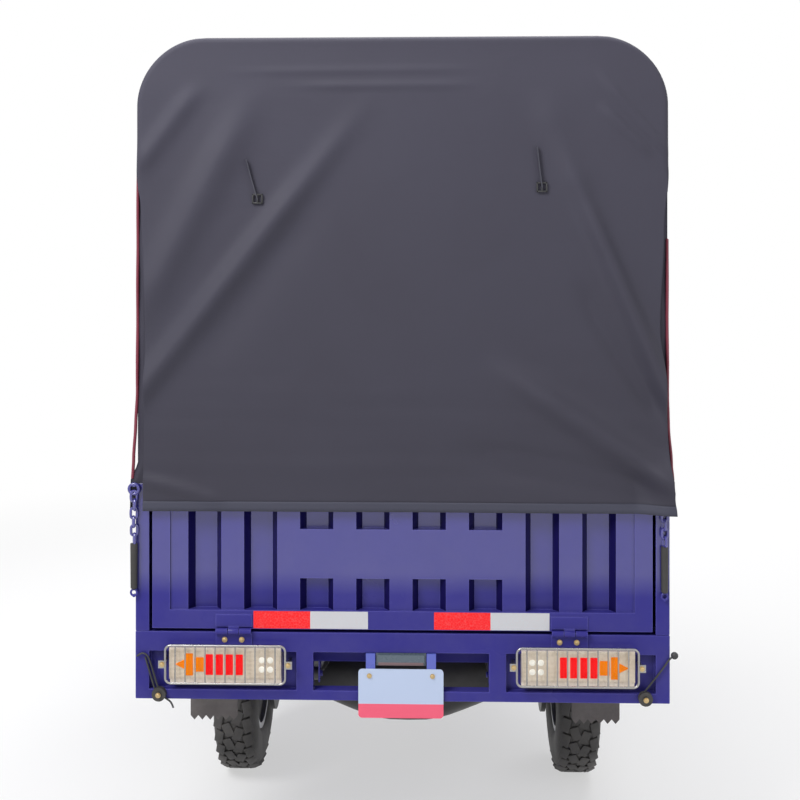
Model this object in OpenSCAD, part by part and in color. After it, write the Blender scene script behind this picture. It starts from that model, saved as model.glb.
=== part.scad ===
// Cargo tricycle with a covered load box, a drop-down tailgate and a single rider seat.
// Millimetres, +Z up, facing +Y, standing on its tyres at z = 0.

/* [Overall] */
// Overall length, lamp guards to front tyre
overall_length = 3384; // [2850:1:3950]
// Width over the side boards
box_width = 1390; // [1180:1:1620]
// Length of the rider's end, load box to front tyre
cab_length = 1354; // [1140:1:1590]
// Height of the load deck's top face
deck_height = 666; // [560:1:780]
// Height of the boards above the deck
board_height = 379; // [320:1:440]
// Height of the canopy's top
canopy_top = 2205; // [2000:1:2400]

/* [Rear bar and lamps] */
// Height of the rear light bar
bar_height = 177; // [165:1:190]
// Depth of the rear light bar
bar_depth = 40; // [34:1:44]
// How far the lamp guards stand out behind the bar
guard_reach = 30; // [26:1:36]
// Length of a tail lamp
lamp_length = 292; // [260:1:310]
// Height of a tail lamp
lamp_height = 80; // [76:1:90]
// Upright wires in a lamp guard
guard_wires = 11; // [7:1:13]
// Width of the number plate
plate_width = 221; // [200:1:240]
// Height of the number plate
plate_height = 127; // [110:1:135]

/* [Load box] */
// Thickness of a side board
board_thickness = 36; // [32:1:40]
// Thickness of the tailgate
gate_thickness = 38; // [34:1:42]
// Number of pressed channels across the tailgate
gate_channel_count = 8; // [8:2:8]
// Pitch of a side board's pressed channels
board_pitch = 146.8; // [120:0.1:160]
// Flat width at the bottom of a channel
channel_width = 57; // [45:1:64]
// Depth of a channel
channel_depth = 24; // [14:1:26]
// Thickness of the pressed sheet
sheet_thickness = 4; // [2:0.5:5]
// Number of cross bearers under the deck
bearer_count = 7; // [6:1:8]

/* [Canopy] */
// Radius of the canopy's upper corners
canopy_corner_radius = 180; // [140:1:220]
// Thickness of the canvas
canvas_thickness = 3; // [2:0.5:4]
// Number of canopy bows
bow_count = 5; // [3:1:6]
// Radius of a bow's tube
bow_radius = 12.5; // [10:0.5:14]

/* [Chassis] */
// Distance of a chassis rail from the middle, as a share of half the box width
rail_share = 0.3885; // [0.36:0.0005:0.41]
// Height of a chassis rail
rail_height = 80; // [70:1:90]
// Rear axle's distance ahead of the light bar
axle_setback = 800; // [740:1:860]
// Distance of each rear wheel's middle inside the box's side
wheel_inset = 168; // [155:1:175]
// Leaves in each rear spring
leaf_count = 5; // [4:1:6]
// Largest radius of the axle's middle housing
axle_bowl_radius = 134; // [120:1:145]

/* [Wheels] */
// Radius of every tyre, as a share of the deck's height
tyre_share = 0.4264; // [0.41:0.0002:0.44]
// Radius of the rim's bead seat, as a share of the tyre's
rim_share = 0.5352; // [0.5:0.0002:0.56]
// Width of a rear tyre
rear_tyre_width = 134; // [122:1:142]
// Width of the front tyre
front_tyre_width = 110; // [98:1:116]

/* [Front end] */
// Lean of the steering axis
rake = 26; // [24:0.5:28]
// Length from the steering axis forward to the axle
fork_lead_length = 40; // [34:1:46]
// Distance between the fork legs
leg_spacing_width = 210; // [204:1:222]
// Width over the handlebar's ends
handlebar_width = 800; // [740:1:860]
// Width of the fuel tank
tank_width = 250; // [210:1:270]
// Length of the rider's seat, as a share of the rider's end
seat_share = 0.2474; // [0.22:0.0002:0.26]

/* [Hidden] */
$fn = 48;

// Clearances, and how far a cutter runs past what it cuts
touch_gap = 0.3;
run_gap = 0.05;
move_gap = 6;
side_gap = 8;
cut_past = 2;

// Main lines
tyre_radius = round(tyre_share * deck_height);
rim_radius = round(rim_share * tyre_radius);
box_length = overall_length - cab_length - guard_reach;
rear_y = -overall_length / 2;
bar_y = rear_y + guard_reach;
box_front_y = bar_y + box_length;
rear_axle_y = bar_y + axle_setback;
front_axle_y = overall_length / 2 - tyre_radius;
half_box = box_width / 2;
inner_half = half_box - board_thickness;
gate_half = inner_half - side_gap;

// Heights
deck_thickness = 8;
bearer_height = 52;
bar_top = deck_height - deck_thickness;
bar_bottom = bar_top - bar_height;
rail_top = bar_top - bearer_height;
rail_bottom = rail_top - rail_height;
rail_mid = (rail_top + rail_bottom) / 2;
board_top = deck_height + board_height;
axle_z = tyre_radius;

// Light bar
post_width = 36;
lower_rail_height = 26;
panel_depth = 22;
panel_thickness = 4;
panel_top = rail_top;
panel_bottom = bar_bottom + lower_rail_height;

// Tail lamps and their guards
lamp_inset = 91;
lamp_inner = half_box - lamp_inset - lamp_length;
lamp_stand_height = 12;
lamp_gap = 1;
lens_rise_height = 14;
lamp_z = around(panel_top - lamp_gap, [-lamp_height, 0]);
stub_width = 44;
stub_gap = 39;
stub_x = around(lamp_inner - stub_gap, [-stub_width, 0]);
guard_wire_radius = 3;
guard_upright_radius = 2;
guard_inner_reach = 13;
guard_outer_reach = 7;
guard_rise_height = 15;
guard_edge_height = 9;
guard_bend_radius = 14;
guard_tab_width = 20;
guard_tab_thickness = 3;
guard_tab_gap = 8;
guard_stud_radius = 5;

// Tie buffers
buffer_inset = 64;
buffer_radius = 18;
buffer_length = 16;
buffer_nut_radius = 7;
buffer_nut_length = 6;
buffer_rise_height = 3;

// Number plate, its bracket and lamp
leg_inner = 67;
leg_width = 24;
leg_x = around(leg_inner, [0, leg_width]);
bracket_thickness = 6;
bracket_foot_height = 4;
bracket_edge_width = 12;
plate_thickness = 2;
plate_rise_height = 60;
plate_corner_radius = 10;
plate_top = panel_bottom + plate_rise_height;
plate_screw_inset = 28.5;
plate_screw_drop = 18;
plate_hole_radius = 3.25;
plate_lamp_gap = 2;
plate_lamp_height = 32;
plate_lamp_depth = 30;
plate_lens_inset = 4;
plate_lens_depth = 8;
plate_lens_gap = 3;
plate_shade_depth = 5;
plate_shade_height = 8;

// Tailgate
gate_stile_width = 47;
gate_rail_height = 49;
gate_top_height = 30;
gate_field_depth = 5;
gate_field_half = gate_half - gate_stile_width;
gate_pitch = 0.243 * gate_field_half;
gate_panel_half = 2.2 * gate_pitch;
gate_panel_low = deck_height + 0.348 * board_height;
gate_panel_high = deck_height + 0.686 * board_height;
channel_run_width = 15;
gate_channels = [for (i = [0 : gate_channel_count - 1]) (i - (gate_channel_count - 1) / 2) * gate_pitch];

// Tailgate hinges
hinge_offset = round(0.6273 * half_box);
hinge_leaf_thickness = 3;
hinge_leaf_width = 95;
hinge_leaf_height = 32;
hinge_low_height = 42;
knuckle_radius = 8;
knuckle_length = 30;
knuckle_spacing_width = 62;
gate_knuckle_length = 28;
hinge_slot_width = 31.8;
hinge_stand_height = 1;
hinge_rise_height = 4;
hinge_pin_radius = 4;
hinge_pin_length = 92;
hinge_y = bar_y - knuckle_radius - hinge_stand_height;
hinge_z = bar_top + hinge_rise_height;

// Reflective tapes
tape_thickness = 0.8;
tape_inner = 86;
tape_gap = 3.5;
tape_edge_width = 2;
tape_outer = hinge_offset - hinge_leaf_width / 2 - tape_gap;

// Side boards and headboard
board_stile_width = 50;
board_rail_height = 49;
board_top_height = 40;
headboard_post_width = 40;

// Canopy
canopy_inset = 9;
canopy_half = half_box - canopy_inset;
hem_flare_width = 18;
hem_drop_height = 70;
hem_z = board_top - hem_drop_height;
lap_height = 8;
flare_height = 55;
corner_step_angle = 4.5;
bow_setback = 20;
bow_half = canopy_half - canvas_thickness - touch_gap - bow_radius;
bow_top = canopy_top - canvas_thickness - touch_gap - bow_radius;
bow_bend_radius = canopy_corner_radius - canvas_thickness - touch_gap - bow_radius;
stringer_radius = 9.5;
stringer_z = board_top + 0.483 * (canopy_top - board_top);
cover_front_gap = 4;

// Rear curtain
curtain_back_length = 10;
curtain_side_gap = 2;
curtain_drop_height = 10;
curtain_half = canopy_half - curtain_side_gap;
curtain_top = canopy_top - curtain_drop_height;
curtain_y = bar_y - (curtain_back_length + move_gap) / 2;
curtain_rod_radius = 3.5;
curtain_rod_drop = 14;
curtain_z = curtain_top - curtain_rod_drop;
curtain_loops = [-0.55 * canopy_half, 0, 0.55 * canopy_half];
loop_width = 28;
loop_thickness = 7;
loop_gap = 5;
loop_notch_height = 16;

// Gate chains
chain_stand_width = 13;
chain_drop_height = 18;
chain_link_length = 24;
chain_link_count = 5;
chain_wire_radius = 3.5;
chain_link_radius = 5;
chain_y = bar_y - 8;
chain_tab_thickness = 4;
chain_tab_height = 16;
chain_tab_lap = 5;
chain_arm_height = 10;
chain_sleeve_radius = 9;
chain_sleeve_length = 118;

// Chassis
rail_offset = round(rail_share * half_box);
rail_width = 50;
rail_wall_thickness = 4;
rail_gap_half = rail_offset - rail_width / 2;
rail_front_y = box_front_y + 0.2807 * cab_length;
cross_depth = 38;
cross_inset = 10;
cross_front_y = rail_front_y - cross_depth;
cross_rear_setback = 150;
cross_axle_gap = 330;
cross_seat_gap = 22;
bearer_width = 40;
bearer_gap = 44;
bearer_y0 = bar_y + bearer_gap;
bearer_step = (box_length - bearer_gap - bearer_width) / (bearer_count - 1);
function bearer_y(i) = bearer_y0 + i * bearer_step;

// Rear axle: [distance along as a share of the reach, radius as a share of the bowl's]
bowl_profile = [
  [0, 1], [0.14, 0.99], [0.23, 0.95], [0.32, 0.87], [0.42, 0.76], [0.52, 0.64], [0.6, 0.54], [0.71, 0.41]
];
wheel_offset = half_box - wheel_inset;
brake_gap = 88;
brake_plate_radius = 105;
brake_plate_thickness = 14;
axle_reach = wheel_offset - brake_gap - brake_plate_thickness;
axle_tube_radius = 45;
axle_collar_radius = 30;
axle_collar_length = 8;
rear_spindle_radius = 20;
rear_spindle_length = 66;
pinion_radius = 62;
pinion_neck_radius = 44;
pinion_lap_length = 60;
pinion_length = 80;
pinion_neck_length = 50;
pinion_face_y = rear_axle_y + axle_bowl_radius - pinion_lap_length + pinion_length + pinion_neck_length;

// Springs
spring_width = 50;
leaf_thickness = 8;
spring_half = 480;
spring_short_half = 110;
spring_seat_half = 60;
spring_seat_height = 0.6 * axle_bowl_radius;
spring_base_height = 40;
clamp_plate_width = 84;
clamp_plate_length = 76;
clamp_plate_thickness = 10;
clamp_bolt_radius = 6;
clamp_bolt_inset = 8;
clamp_bolt_length = 8;
seat_z = axle_z + spring_seat_height;
pack_top = seat_z + leaf_count * leaf_thickness;
eye_radius = 18;
eye_pin_radius = 8;
hanger_drop_height = 78;
hanger_thickness = 4;
hanger_width = 40;
hanger_foot_width = 48;
hanger_foot_thickness = 6;
hanger_gap = 1;
hanger_pin_length = 10;
eye_z = rail_bottom - hanger_drop_height;
spring_rise_height = eye_z - pack_top + leaf_thickness / 2;

// Mudflaps
flap_inner_reach = 52;
flap_outer_reach = 83;
flap_thickness = 6;
flap_rise_height = 34;
flap_tooth_height = 13;
flap_teeth = 6;
flap_y = bearer_y(0) + 0.8 * bearer_step;

// Engine
engine_y = box_front_y + 0.164 * cab_length;
engine_drop_height = 116;
engine_z = rail_bottom - engine_drop_height;
case_half = 0.4286 * rail_gap_half;
// [along, up] from the crankshaft
case_points = [
  [-120, -40], [-90, -75], [90, -75], [125, -30], [125, 60], [90, 90], [-60, 90], [-120, 45]
];
clutch_half = 0.5837 * rail_gap_half;
clutch_radius = 82;
clutch_back = 35;
clutch_rise_height = 2;
magneto_half = 0.5347 * rail_gap_half;
magneto_radius = 52;
magneto_lead = 68;
magneto_rise_height = 8;
output_radius = 44;
output_drop_height = 40;
output_length = 150;
output_start = 110;
barrel_lead = 10;
barrel_radius = 52;
barrel_base_height = 80;
barrel_height = 110;
fin_count = 6;
fin_radius = 78;
fin_thickness = 5;
fin_pitch_height = 15;
fin_start_height = 22;
head_half_width = 62;
head_height = 40;
port_half_width = 70;
port_radius = 24;
port_rise_height = 20;
mount_inner = 50;
mount_width = 12;
mount_length = 18;
mount_height = 50;
mount_arm_height = 24;
mount_arm_rise = 20;
mount_arm_gap = 60;
mount_post_length = 35;
port_z = engine_z + barrel_base_height + barrel_height + port_rise_height;
barrel_y = engine_y + barrel_lead;

// Drive shaft
shaft_radius = 26;
joint_radius = 36;
joint_length = 42;
joint_gap = 12;

// Exhaust
pipe_radius = 16;
pipe_lead_length = 70;
pipe_fall_height = 70;
pipe_drop_height = 220;
pipe_run_height = 290;
can_radius = 50;
can_side_gap = 110;
can_front_gap = 140;
can_rear_gap = 10;
can_lap = 6;
can_lead_length = 40;
tail_pipe_radius = 15;
tail_pipe_length = 60;
can_strap_thickness = 6;
can_strap_width = 24;
can_strap_inset = 8;
can_strap_lap = 10;

// Steering axis and fork, heights along the axis from the axle's level
pivot_y = front_axle_y - fork_lead_length * cos(rake);
pivot_z = axle_z - fork_lead_length * sin(rake);
leg_offset = leg_spacing_width / 2;
guard_gap = 26;
guard_inner_radius = tyre_radius + guard_gap;
guard_sheet_thickness = 3;
guard_half_width = 72;
guard_lip_height = 34;
guard_shoulder_width = 14;
guard_start_angle = 35;
guard_sweep_angle = 130;
guard_pad_half = 30;
guard_pad_length = 24;
guard_pad_height = 7;
brace_length = 28;
brace_height = 18;
slider_radius = 24;
slider_rise_height = 30;
slider_foot_height = 34;
slider_top = guard_inner_radius + slider_rise_height;
fork_tube_radius = 17;
gaiter_radius = 27;
gaiter_length = 180;
clamp_gap = 80;
clamp_thickness = 35;
top_clamp_thickness = 30;
clamp_leg_reach = 30;
clamp_front_length = 26;
clamp_nose_half = 34;
clamp_nose_length = 30;
head_length = 164;
head_gap = 3;
head_radius = 30;
stem_radius = 16;
stem_inset = 2;
front_spindle_radius = 8;
front_spindle_reach = 34;
lower_clamp = around(slider_top + gaiter_length + clamp_gap, [0, clamp_thickness]);
head_z = around(lower_clamp[1] + head_gap, [0, head_length]);
upper_clamp = around(head_z[1] + head_gap, [0, top_clamp_thickness]);
head_mid = (head_z[0] + head_z[1]) / 2;
head_mid_y = pivot_y - head_mid * sin(rake);
head_mid_z = pivot_z + head_mid * cos(rake);

// Handlebar, points in the steering frame
handlebar_radius = 11;
riser_height = 45;
riser_spacing_width = 84;
riser_width = 24;
riser_length = 28;
riser_lap = 14;
riser_lead = 10;
bar_straight_reach = 110;
bar_sweep_reach = 190;
bar_rise_height = 66;
bar_back_length = 20;
grip_length = 126;
grip_past_length = 8;
grip_radius = 16;
grip_back_length = 140;
grip_bend_back = 70;
grip_bend_rise = 74;
grip_end_rise = 60;
bar_z = upper_clamp[1] + riser_height;
bar_start = [riser_spacing_width / 2 - cut_past, riser_lead, bar_z];
bar_straight = [bar_straight_reach, riser_lead, bar_z];
bar_sweep = [bar_sweep_reach, -bar_back_length, bar_z + bar_rise_height];
bar_bend = [handlebar_width / 2 - grip_back_length, -grip_bend_back, bar_z + grip_bend_rise];
bar_end = [handlebar_width / 2, -grip_back_length, bar_z + grip_end_rise];

// Headlamp, indicators, mirrors and speedometer
headlamp_radius = 84;
headlamp_back_radius = 40;
headlamp_back_length = 44;
headlamp_length = 90;
headlamp_lead = 165;
headlamp_face = 50;
headlamp_z = (lower_clamp[0] + lower_clamp[1]) / 2 + 22.5;
headlamp_stay_thickness = 6;
headlamp_stay_inner = 40;
headlamp_stay_inset = 6;
headlamp_stay_gap = 20;
lens_radius = 80;
lens_thickness = 8;
lens_dome_radius = 60;
lens_dome_height = 14;
indicator_lead = 60;
indicator_rise_height = 14;
indicator_stem_radius = 6;
indicator_stem_reach = 170;
indicator_reach = 190;
indicator_radius = 30;
indicator_back_length = 26;
indicator_front_length = 22;
indicator_foot_half = 9;
mirror_stem_radius = 5;
mirror_boss_radius = 9;
mirror_boss_height = 20;
mirror_stem_foot = 8;
mirror_out_width = 70;
mirror_back_length = 20;
mirror_rise_height = 190;
mirror_radius = 66;
mirror_half_thickness = 8;
mirror_shift_width = 30;
mirror_shift_height = 20;
dial_radius = 44;
dial_height = 42;
dial_lead = 40;
dial_foot_half = 18;
dial_foot_length = 26;
dial_foot_height = 20;

// Rider's place
seat_gap = 10;
seat_length = round(seat_share * cab_length);
seat_y0 = box_front_y + seat_gap;
seat_y1 = seat_y0 + seat_length;
seat_base_height = 154;
seat_base_z = around(rail_top, [0, seat_base_height]);
seat_base_half = rail_offset + seat_gap;
seat_base_wall = 4;
seat_base_rear_gap = 6;
seat_base_front_gap = 12;
cushion_height = 80;
cushion_inset = 20;
backrest_thickness = 52;
backrest_height = 114;
backrest_gap = 6;

// Fuel tank
tank_half = tank_width / 2;
tank_gap = 8;
tank_lap_height = 10;
tank_head_gap = 75;
tank_rise_height = 72;
tank_y = [seat_y1 + tank_gap, head_mid_y - tank_head_gap];
tank_low = [seat_base_z[1] - tank_lap_height, head_mid_z - tank_lap_height];
tank_span = tank_y[1] - tank_y[0];
tank_crown = head_mid_z + tank_rise_height;
tank_nose_height = 32;
tank_shoulder_height = 60;
tank_round_width = 50;
tank_edge_width = 16;
tank_edge_height = 24;
tank_cap_radius = 30;
tank_cap_height = 14;
tank_cap_depth = 20;

// Front frame and footboards
spine_radius = 24;
spine_rise_height = 14;
down_tube_radius = 18;
down_tube_half = 14;
knee_share = 0.58;
elbow_radius = 20;
saddle_half = 14;
saddle_length = 0.11 * tank_span;
saddle_drop_height = 100;
spine_pad_half = 40;
spine_pad_height = 34;
rail_cap_thickness = 10;
tail_lap = 5;
foot_offset = 130;
foot_back = 155;
foot_drop_height = 86;
foot_lug_width = 20;
foot_lug_length = 50;
foot_lug_half = 14;
board_width = 190;
board_back_length = 150;
board_front_length = 60;
board_sheet_thickness = 6;
board_fall_height = 32;
board_toe_height = 60;
board_lug_width = 9;
board_lug_height = 40;
foot_y = head_mid_y - foot_back;
foot_z = rail_bottom - foot_drop_height;

// Wheels
tyre_wall_thickness = 12;
tyre_bead_inset = 17;
tyre_bead_height = 14;
tyre_bead_width = 16;
tyre_shoulder_width = 22;
tyre_belt_thickness = 22;
wall_low_height = 50;
wall_high_height = 40;
bulge_width = 8;
rim_lip_height = 12;
rim_sheet_thickness = 5;
hub_radius = 48;
disc_radius = 70;
disc_back = 8;
disc_front = 2;
disc_dish = 14;
front_hub_half = 62;
rear_hub_half = 60;

// Blocks and rods
function around(c, v) = [c + v[0], c + v[1]];
function either(w) = [-w, w];
function reversed(p) = [for (i = [len(p) - 1 : -1 : 0]) p[i]];
function flipped(p) = [for (q = reversed(p)) [-q.x, q.y]];
function flipped3(p) = [for (q = reversed(p)) [-q.x, q.y, q.z]];
function between(a, b, t) = a + t * (b - a);

module block(x, y, z) {
  translate([x[0], y[0], z[0]])
    cube([x[1] - x[0], y[1] - y[0], z[1] - z[0]]);
}

module rod_x(r, x, y, z) {
  translate([x[0], y, z])
    rotate([0, 90, 0])
      cylinder(r = r, h = x[1] - x[0]);
}

module rod_y(r, x, y, z) {
  translate([x, y[1], z])
    rotate([90, 0, 0])
      cylinder(r = r, h = y[1] - y[0]);
}

module rod_z(r, x, y, z) {
  translate([x, y, z[0]])
    cylinder(r = r, h = z[1] - z[0]);
}

module strut(a, b, r) {
  d = b - a;
  translate(a)
    rotate([0, acos(d.z / norm(d)), atan2(d.y, d.x)])
      cylinder(r = r, h = norm(d));
}

module mirrored() {
  children();
  mirror([1, 0, 0])
    children();
}

module on_side(s) {
  if (s > 0)
    children();
  else
    mirror([1, 0, 0])
      children();
}

// Solid between two Y planes from points in X and Z
module slab_y(points, y) {
  translate([0, y[1], 0])
    rotate([90, 0, 0])
      linear_extrude(y[1] - y[0])
        polygon(points);
}

// Solid between two X planes from points in Y and Z
module slab_x(points, x) {
  translate([x[0], 0, 0])
    rotate([90, 0, 90])
      linear_extrude(x[1] - x[0])
        polygon(points);
}

// Solid between two Z planes from points in X and Y
module slab_z(points, z) {
  translate([0, 0, z[0]])
    linear_extrude(z[1] - z[0])
      polygon(points);
}

module about_x(points) {
  rotate([0, 90, 0])
    rotate_extrude($fn = 96)
      polygon(points);
}

// Round bent tube through a list of points
function unit(v) = v / norm(v);
function smooth_path(p) = concat(
  [p[0]],
  [for (i = [0 : len(p) - 2]) each [between(p[i], p[i + 1], 0.25), between(p[i], p[i + 1], 0.75)]],
  [p[len(p) - 1]]
);
function tangent(p, i) = unit(p[min(i + 1, len(p) - 1)] - p[max(i - 1, 0)]);

module bent_tube(path, r, up, sides = 12) {
  n = len(path);
  rings = [
    for (i = [0 : n - 1])
      let (t = tangent(path, i), u = unit(cross(up, t)), v = cross(t, u))
        for (k = [0 : sides - 1])
          path[i] + r * (cos(360 * k / sides) * u + sin(360 * k / sides) * v)
  ];
  skin = [
    for (i = [0 : n - 2])
      for (k = [0 : sides - 1])
        let (a = i * sides + k, b = i * sides + (k + 1) % sides)
          each [[a, a + sides, b + sides], [a, b + sides, b]]
  ];
  start = [for (k = [0 : sides - 1]) k];
  finish = [for (k = [sides - 1 : -1 : 0]) (n - 1) * sides + k];
  polyhedron(points = rings, faces = concat(skin, [start, finish]), convexity = 8);
}

// Pressed sheet, raised face at y = 0, channels sinking towards +Y
function channel_path(x, centres) = let (flat = channel_width / 2, lip = flat + channel_run_width) concat(
  [[x[0], 0]],
  [for (c = centres) each [[c - lip, 0], [c - flat, channel_depth], [c + flat, channel_depth], [c + lip, 0]]],
  [[x[1], 0]]
);

module pressed_sheet(x, centres, z) {
  path = channel_path(x, centres);
  slab_z(concat(path, reversed([for (p = path) [p.x, p.y + sheet_thickness]])), z);
}

// Steering frame: z along the steering axis, y forward
module steer() {
  translate([0, pivot_y, pivot_z])
    rotate([rake, 0, 0])
      children();
}

// Chassis
module chassis_rails() {
  half = rail_width / 2;
  color("darkslateblue")
    mirrored()
      difference() {
        block(around(rail_offset, either(half)), [bar_y + panel_depth + panel_thickness, rail_front_y],
          [rail_bottom, rail_top]);
        block(around(rail_offset, either(half - rail_wall_thickness)), [bar_y, rail_front_y + cut_past],
          [rail_bottom + rail_wall_thickness, rail_top - rail_wall_thickness]);
      }
}

module chassis_crossmembers() {
  places = [
    bar_y + cross_rear_setback, rear_axle_y + cross_axle_gap, bar_y + 0.75 * box_length,
    box_front_y + cross_seat_gap, cross_front_y
  ];
  color("darkslateblue")
    for (y = places)
      block(either(rail_gap_half), [y, y + cross_depth],
        [rail_bottom + cross_inset, rail_top - cross_inset]);
}

module deck_bearers() {
  color("darkslateblue")
    for (i = [0 : bearer_count - 1])
      block(either(half_box), around(bearer_y(i), [0, bearer_width]), [rail_top, bar_top]);
}

module front_frame() {
  head = [0, head_mid_y, head_mid_z];
  spine = [0, cross_front_y + cross_depth / 2, rail_top + spine_rise_height];
  knee = between(spine, head, knee_share) + [down_tube_half, 0, 0];
  foot = [foot_offset, foot_y, foot_z];
  tail = [rail_offset, rail_front_y + tail_lap, rail_mid];
  color("darkslateblue")
    difference() {
      union() {
        steer()
          rod_z(head_radius, 0, 0, head_z);
        strut(head, spine, spine_radius);
        block(either(saddle_half), around(tank_y[0], [tank_gap, tank_gap + saddle_length]),
          [spine.z, tank_low[0]]);
        block(either(saddle_half), around(tank_y[1], [-tank_gap - saddle_length, -tank_gap]),
          [tank_low[1] - saddle_drop_height, tank_low[1]]);
        block(either(spine_pad_half), around(cross_front_y, [0, cross_depth]),
          around(rail_top - cross_inset, [0, spine_pad_height]));
        mirrored() {
          strut(knee, foot, down_tube_radius);
          strut(foot, tail, down_tube_radius);
          translate(foot)
            sphere(r = elbow_radius);
          block(around(foot_offset, [0, foot_lug_width]), around(foot_y, [0, foot_lug_length]),
            around(foot_z, either(foot_lug_half)));
          block(around(rail_offset, either(rail_width / 2)), around(rail_front_y, [0, rail_cap_thickness]),
            [rail_bottom, rail_top]);
        }
      }
      steer()
        rod_z(stem_radius + run_gap, 0, 0, head_z + either(saddle_drop_height / 2));
    }
}

// Rear light bar
module rear_light_bar() {
  full = around(bar_y, [0, bar_depth]);
  panel = around(bar_y + panel_depth, [0, panel_thickness]);
  open = [panel_bottom, panel_top];
  color("darkslateblue")
    union() {
      block(either(half_box), full, [panel_top, bar_top]);
      block(either(half_box), full, [bar_bottom, panel_bottom]);
      mirrored() {
        block([half_box - post_width, half_box], full, open);
        block(stub_x, [full[0], panel[1]], open);
        block([stub_x[1], half_box - post_width], panel, open);
      }
    }
}

module plate_bracket() {
  y = around(bar_y, [-bracket_thickness, 0]);
  low = plate_top - plate_height + bracket_edge_width;
  color("slateblue")
    union() {
      block(either(leg_x[1]), y, [low, panel_bottom - bracket_foot_height / 2]);
      mirrored() {
        block(leg_x, y + [0, bracket_thickness], [panel_bottom, panel_top]);
        block(leg_x, y, around(panel_bottom, either(bracket_foot_height)));
      }
    }
}

module number_plate() {
  r = plate_corner_radius;
  half = plate_width / 2;
  y = around(bar_y - bracket_thickness, [-plate_thickness, 0]);
  z = [plate_top - plate_height, plate_top];
  color("lavender")
    difference() {
      union() {
        block(either(half), y, z + [r, -r]);
        block(either(half - r), y, z);
        mirrored()
          for (v = z + [r, -r])
            rod_y(r, half - r, y, v);
      }
      mirrored()
        rod_y(plate_hole_radius, half - plate_screw_inset, y + either(cut_past),
          plate_top - plate_screw_drop);
    }
}

module plate_lamp() {
  half = leg_inner - plate_lamp_gap;
  low = panel_top - plate_lamp_height;
  lens_low = low + plate_lamp_gap + plate_shade_height;
  color("darkseagreen")
    union() {
      block(either(half), around(bar_y, [0, plate_lamp_depth]), [low, panel_top]);
      block(either(half - plate_lens_inset), around(bar_y, [-plate_lens_depth, 0]),
        [lens_low, panel_top - plate_lens_gap]);
      block(either(half - plate_lens_inset), around(bar_y, [-plate_shade_depth, 0]),
        [low + plate_lamp_gap, lens_low]);
    }
}

module tail_lamp() {
  x = around(lamp_inner, [0, lamp_length]);
  color("linen")
    union() {
      block(x, around(bar_y, [0, panel_depth]), lamp_z);
      block(x, around(bar_y, [-lamp_stand_height, 0]), around(lens_rise_height, lamp_z));
    }
}

module lamp_guard() {
  x = around(lamp_inner, [-guard_inner_reach, lamp_length + guard_outer_reach]);
  z = around(guard_rise_height, lamp_z) + either(guard_edge_height);
  y = rear_y + guard_wire_radius;
  bend = guard_bend_radius;
  mid = (z[0] + z[1]) / 2;
  step = (x[1] - x[0]) / (guard_wires + 1);
  half_tab = guard_tab_width / 2;
  color("silver")
    union() {
      for (v = z)
        rod_x(guard_wire_radius, x + [bend, -bend], y, v);
      for (u = x)
        rod_z(guard_wire_radius, u, y, z + [bend, -bend]);
      for (c = [[x[1] - bend, z[1] - bend, 0], [x[0] + bend, z[1] - bend, 90],
                [x[0] + bend, z[0] + bend, 180], [x[1] - bend, z[0] + bend, 270]])
        translate([c[0], y, c[1]])
          rotate([90, 0, 0])
            rotate([0, 0, c[2]])
              rotate_extrude(angle = 90)
                translate([bend, 0])
                  circle(r = guard_wire_radius);
      for (i = [1 : guard_wires])
        rod_z(guard_upright_radius, x[0] + i * step, y, z);
      for (u = around(0, x + [-guard_tab_gap, guard_tab_gap])) {
        block(around(u, either(half_tab)), around(y, either(guard_tab_thickness / 2)),
          around(mid, either(half_tab)));
        rod_y(guard_stud_radius, u, [y, bar_y + panel_depth], mid);
      }
    }
}

module tie_buffers() {
  x = half_box - buffer_inset;
  z = bar_bottom + lower_rail_height / 2 + buffer_rise_height;
  color("dimgray")
    mirrored()
      union() {
        rod_y(buffer_radius, x, around(bar_y, [-buffer_length, 0]), z);
        rod_y(buffer_nut_radius, x, around(bar_y - buffer_length, [1 - buffer_nut_length, 1]), z);
      }
}

// Load box
module load_deck() {
  color("slateblue")
    block(either(inner_half), [bearer_y0, box_front_y - board_thickness], [bar_top, deck_height]);
}

module side_board() {
  run = box_length - 2 * board_stile_width;
  count = floor(run / board_pitch);
  centres = [for (i = [0 : count - 1]) board_stile_width + run * (i + 0.5) / count];
  y = [bar_y, box_front_y];
  x = [inner_half, half_box];
  low = deck_height + board_rail_height;
  high = board_top - board_top_height;
  color("darkslateblue")
    union() {
      block(x, y, [bar_top, low]);
      block(x, y, [high, board_top]);
      block(x, around(y[0], [0, board_stile_width]), [bar_top, board_top]);
      block(x, around(y[1], [-board_stile_width, 0]), [bar_top, board_top]);
      translate([half_box, bar_y, 0])
        rotate([0, 0, 90])
          pressed_sheet([board_stile_width, box_length - board_stile_width], centres, [low, high]);
    }
}

module headboard() {
  y = around(box_front_y, [-board_thickness, 0]);
  x = either(inner_half);
  half_post = headboard_post_width / 2;
  color("darkslateblue")
    union() {
      block(x, y, [bar_top, deck_height + board_rail_height]);
      block(x, y, [board_top - board_top_height, board_top]);
      block(x, around(y[0], [0, sheet_thickness]), [bar_top, board_top]);
      mirrored()
        for (u = [rail_offset, inner_half - half_post])
          block(around(u, either(half_post)), y, [bar_top, board_top]);
    }
}

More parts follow.
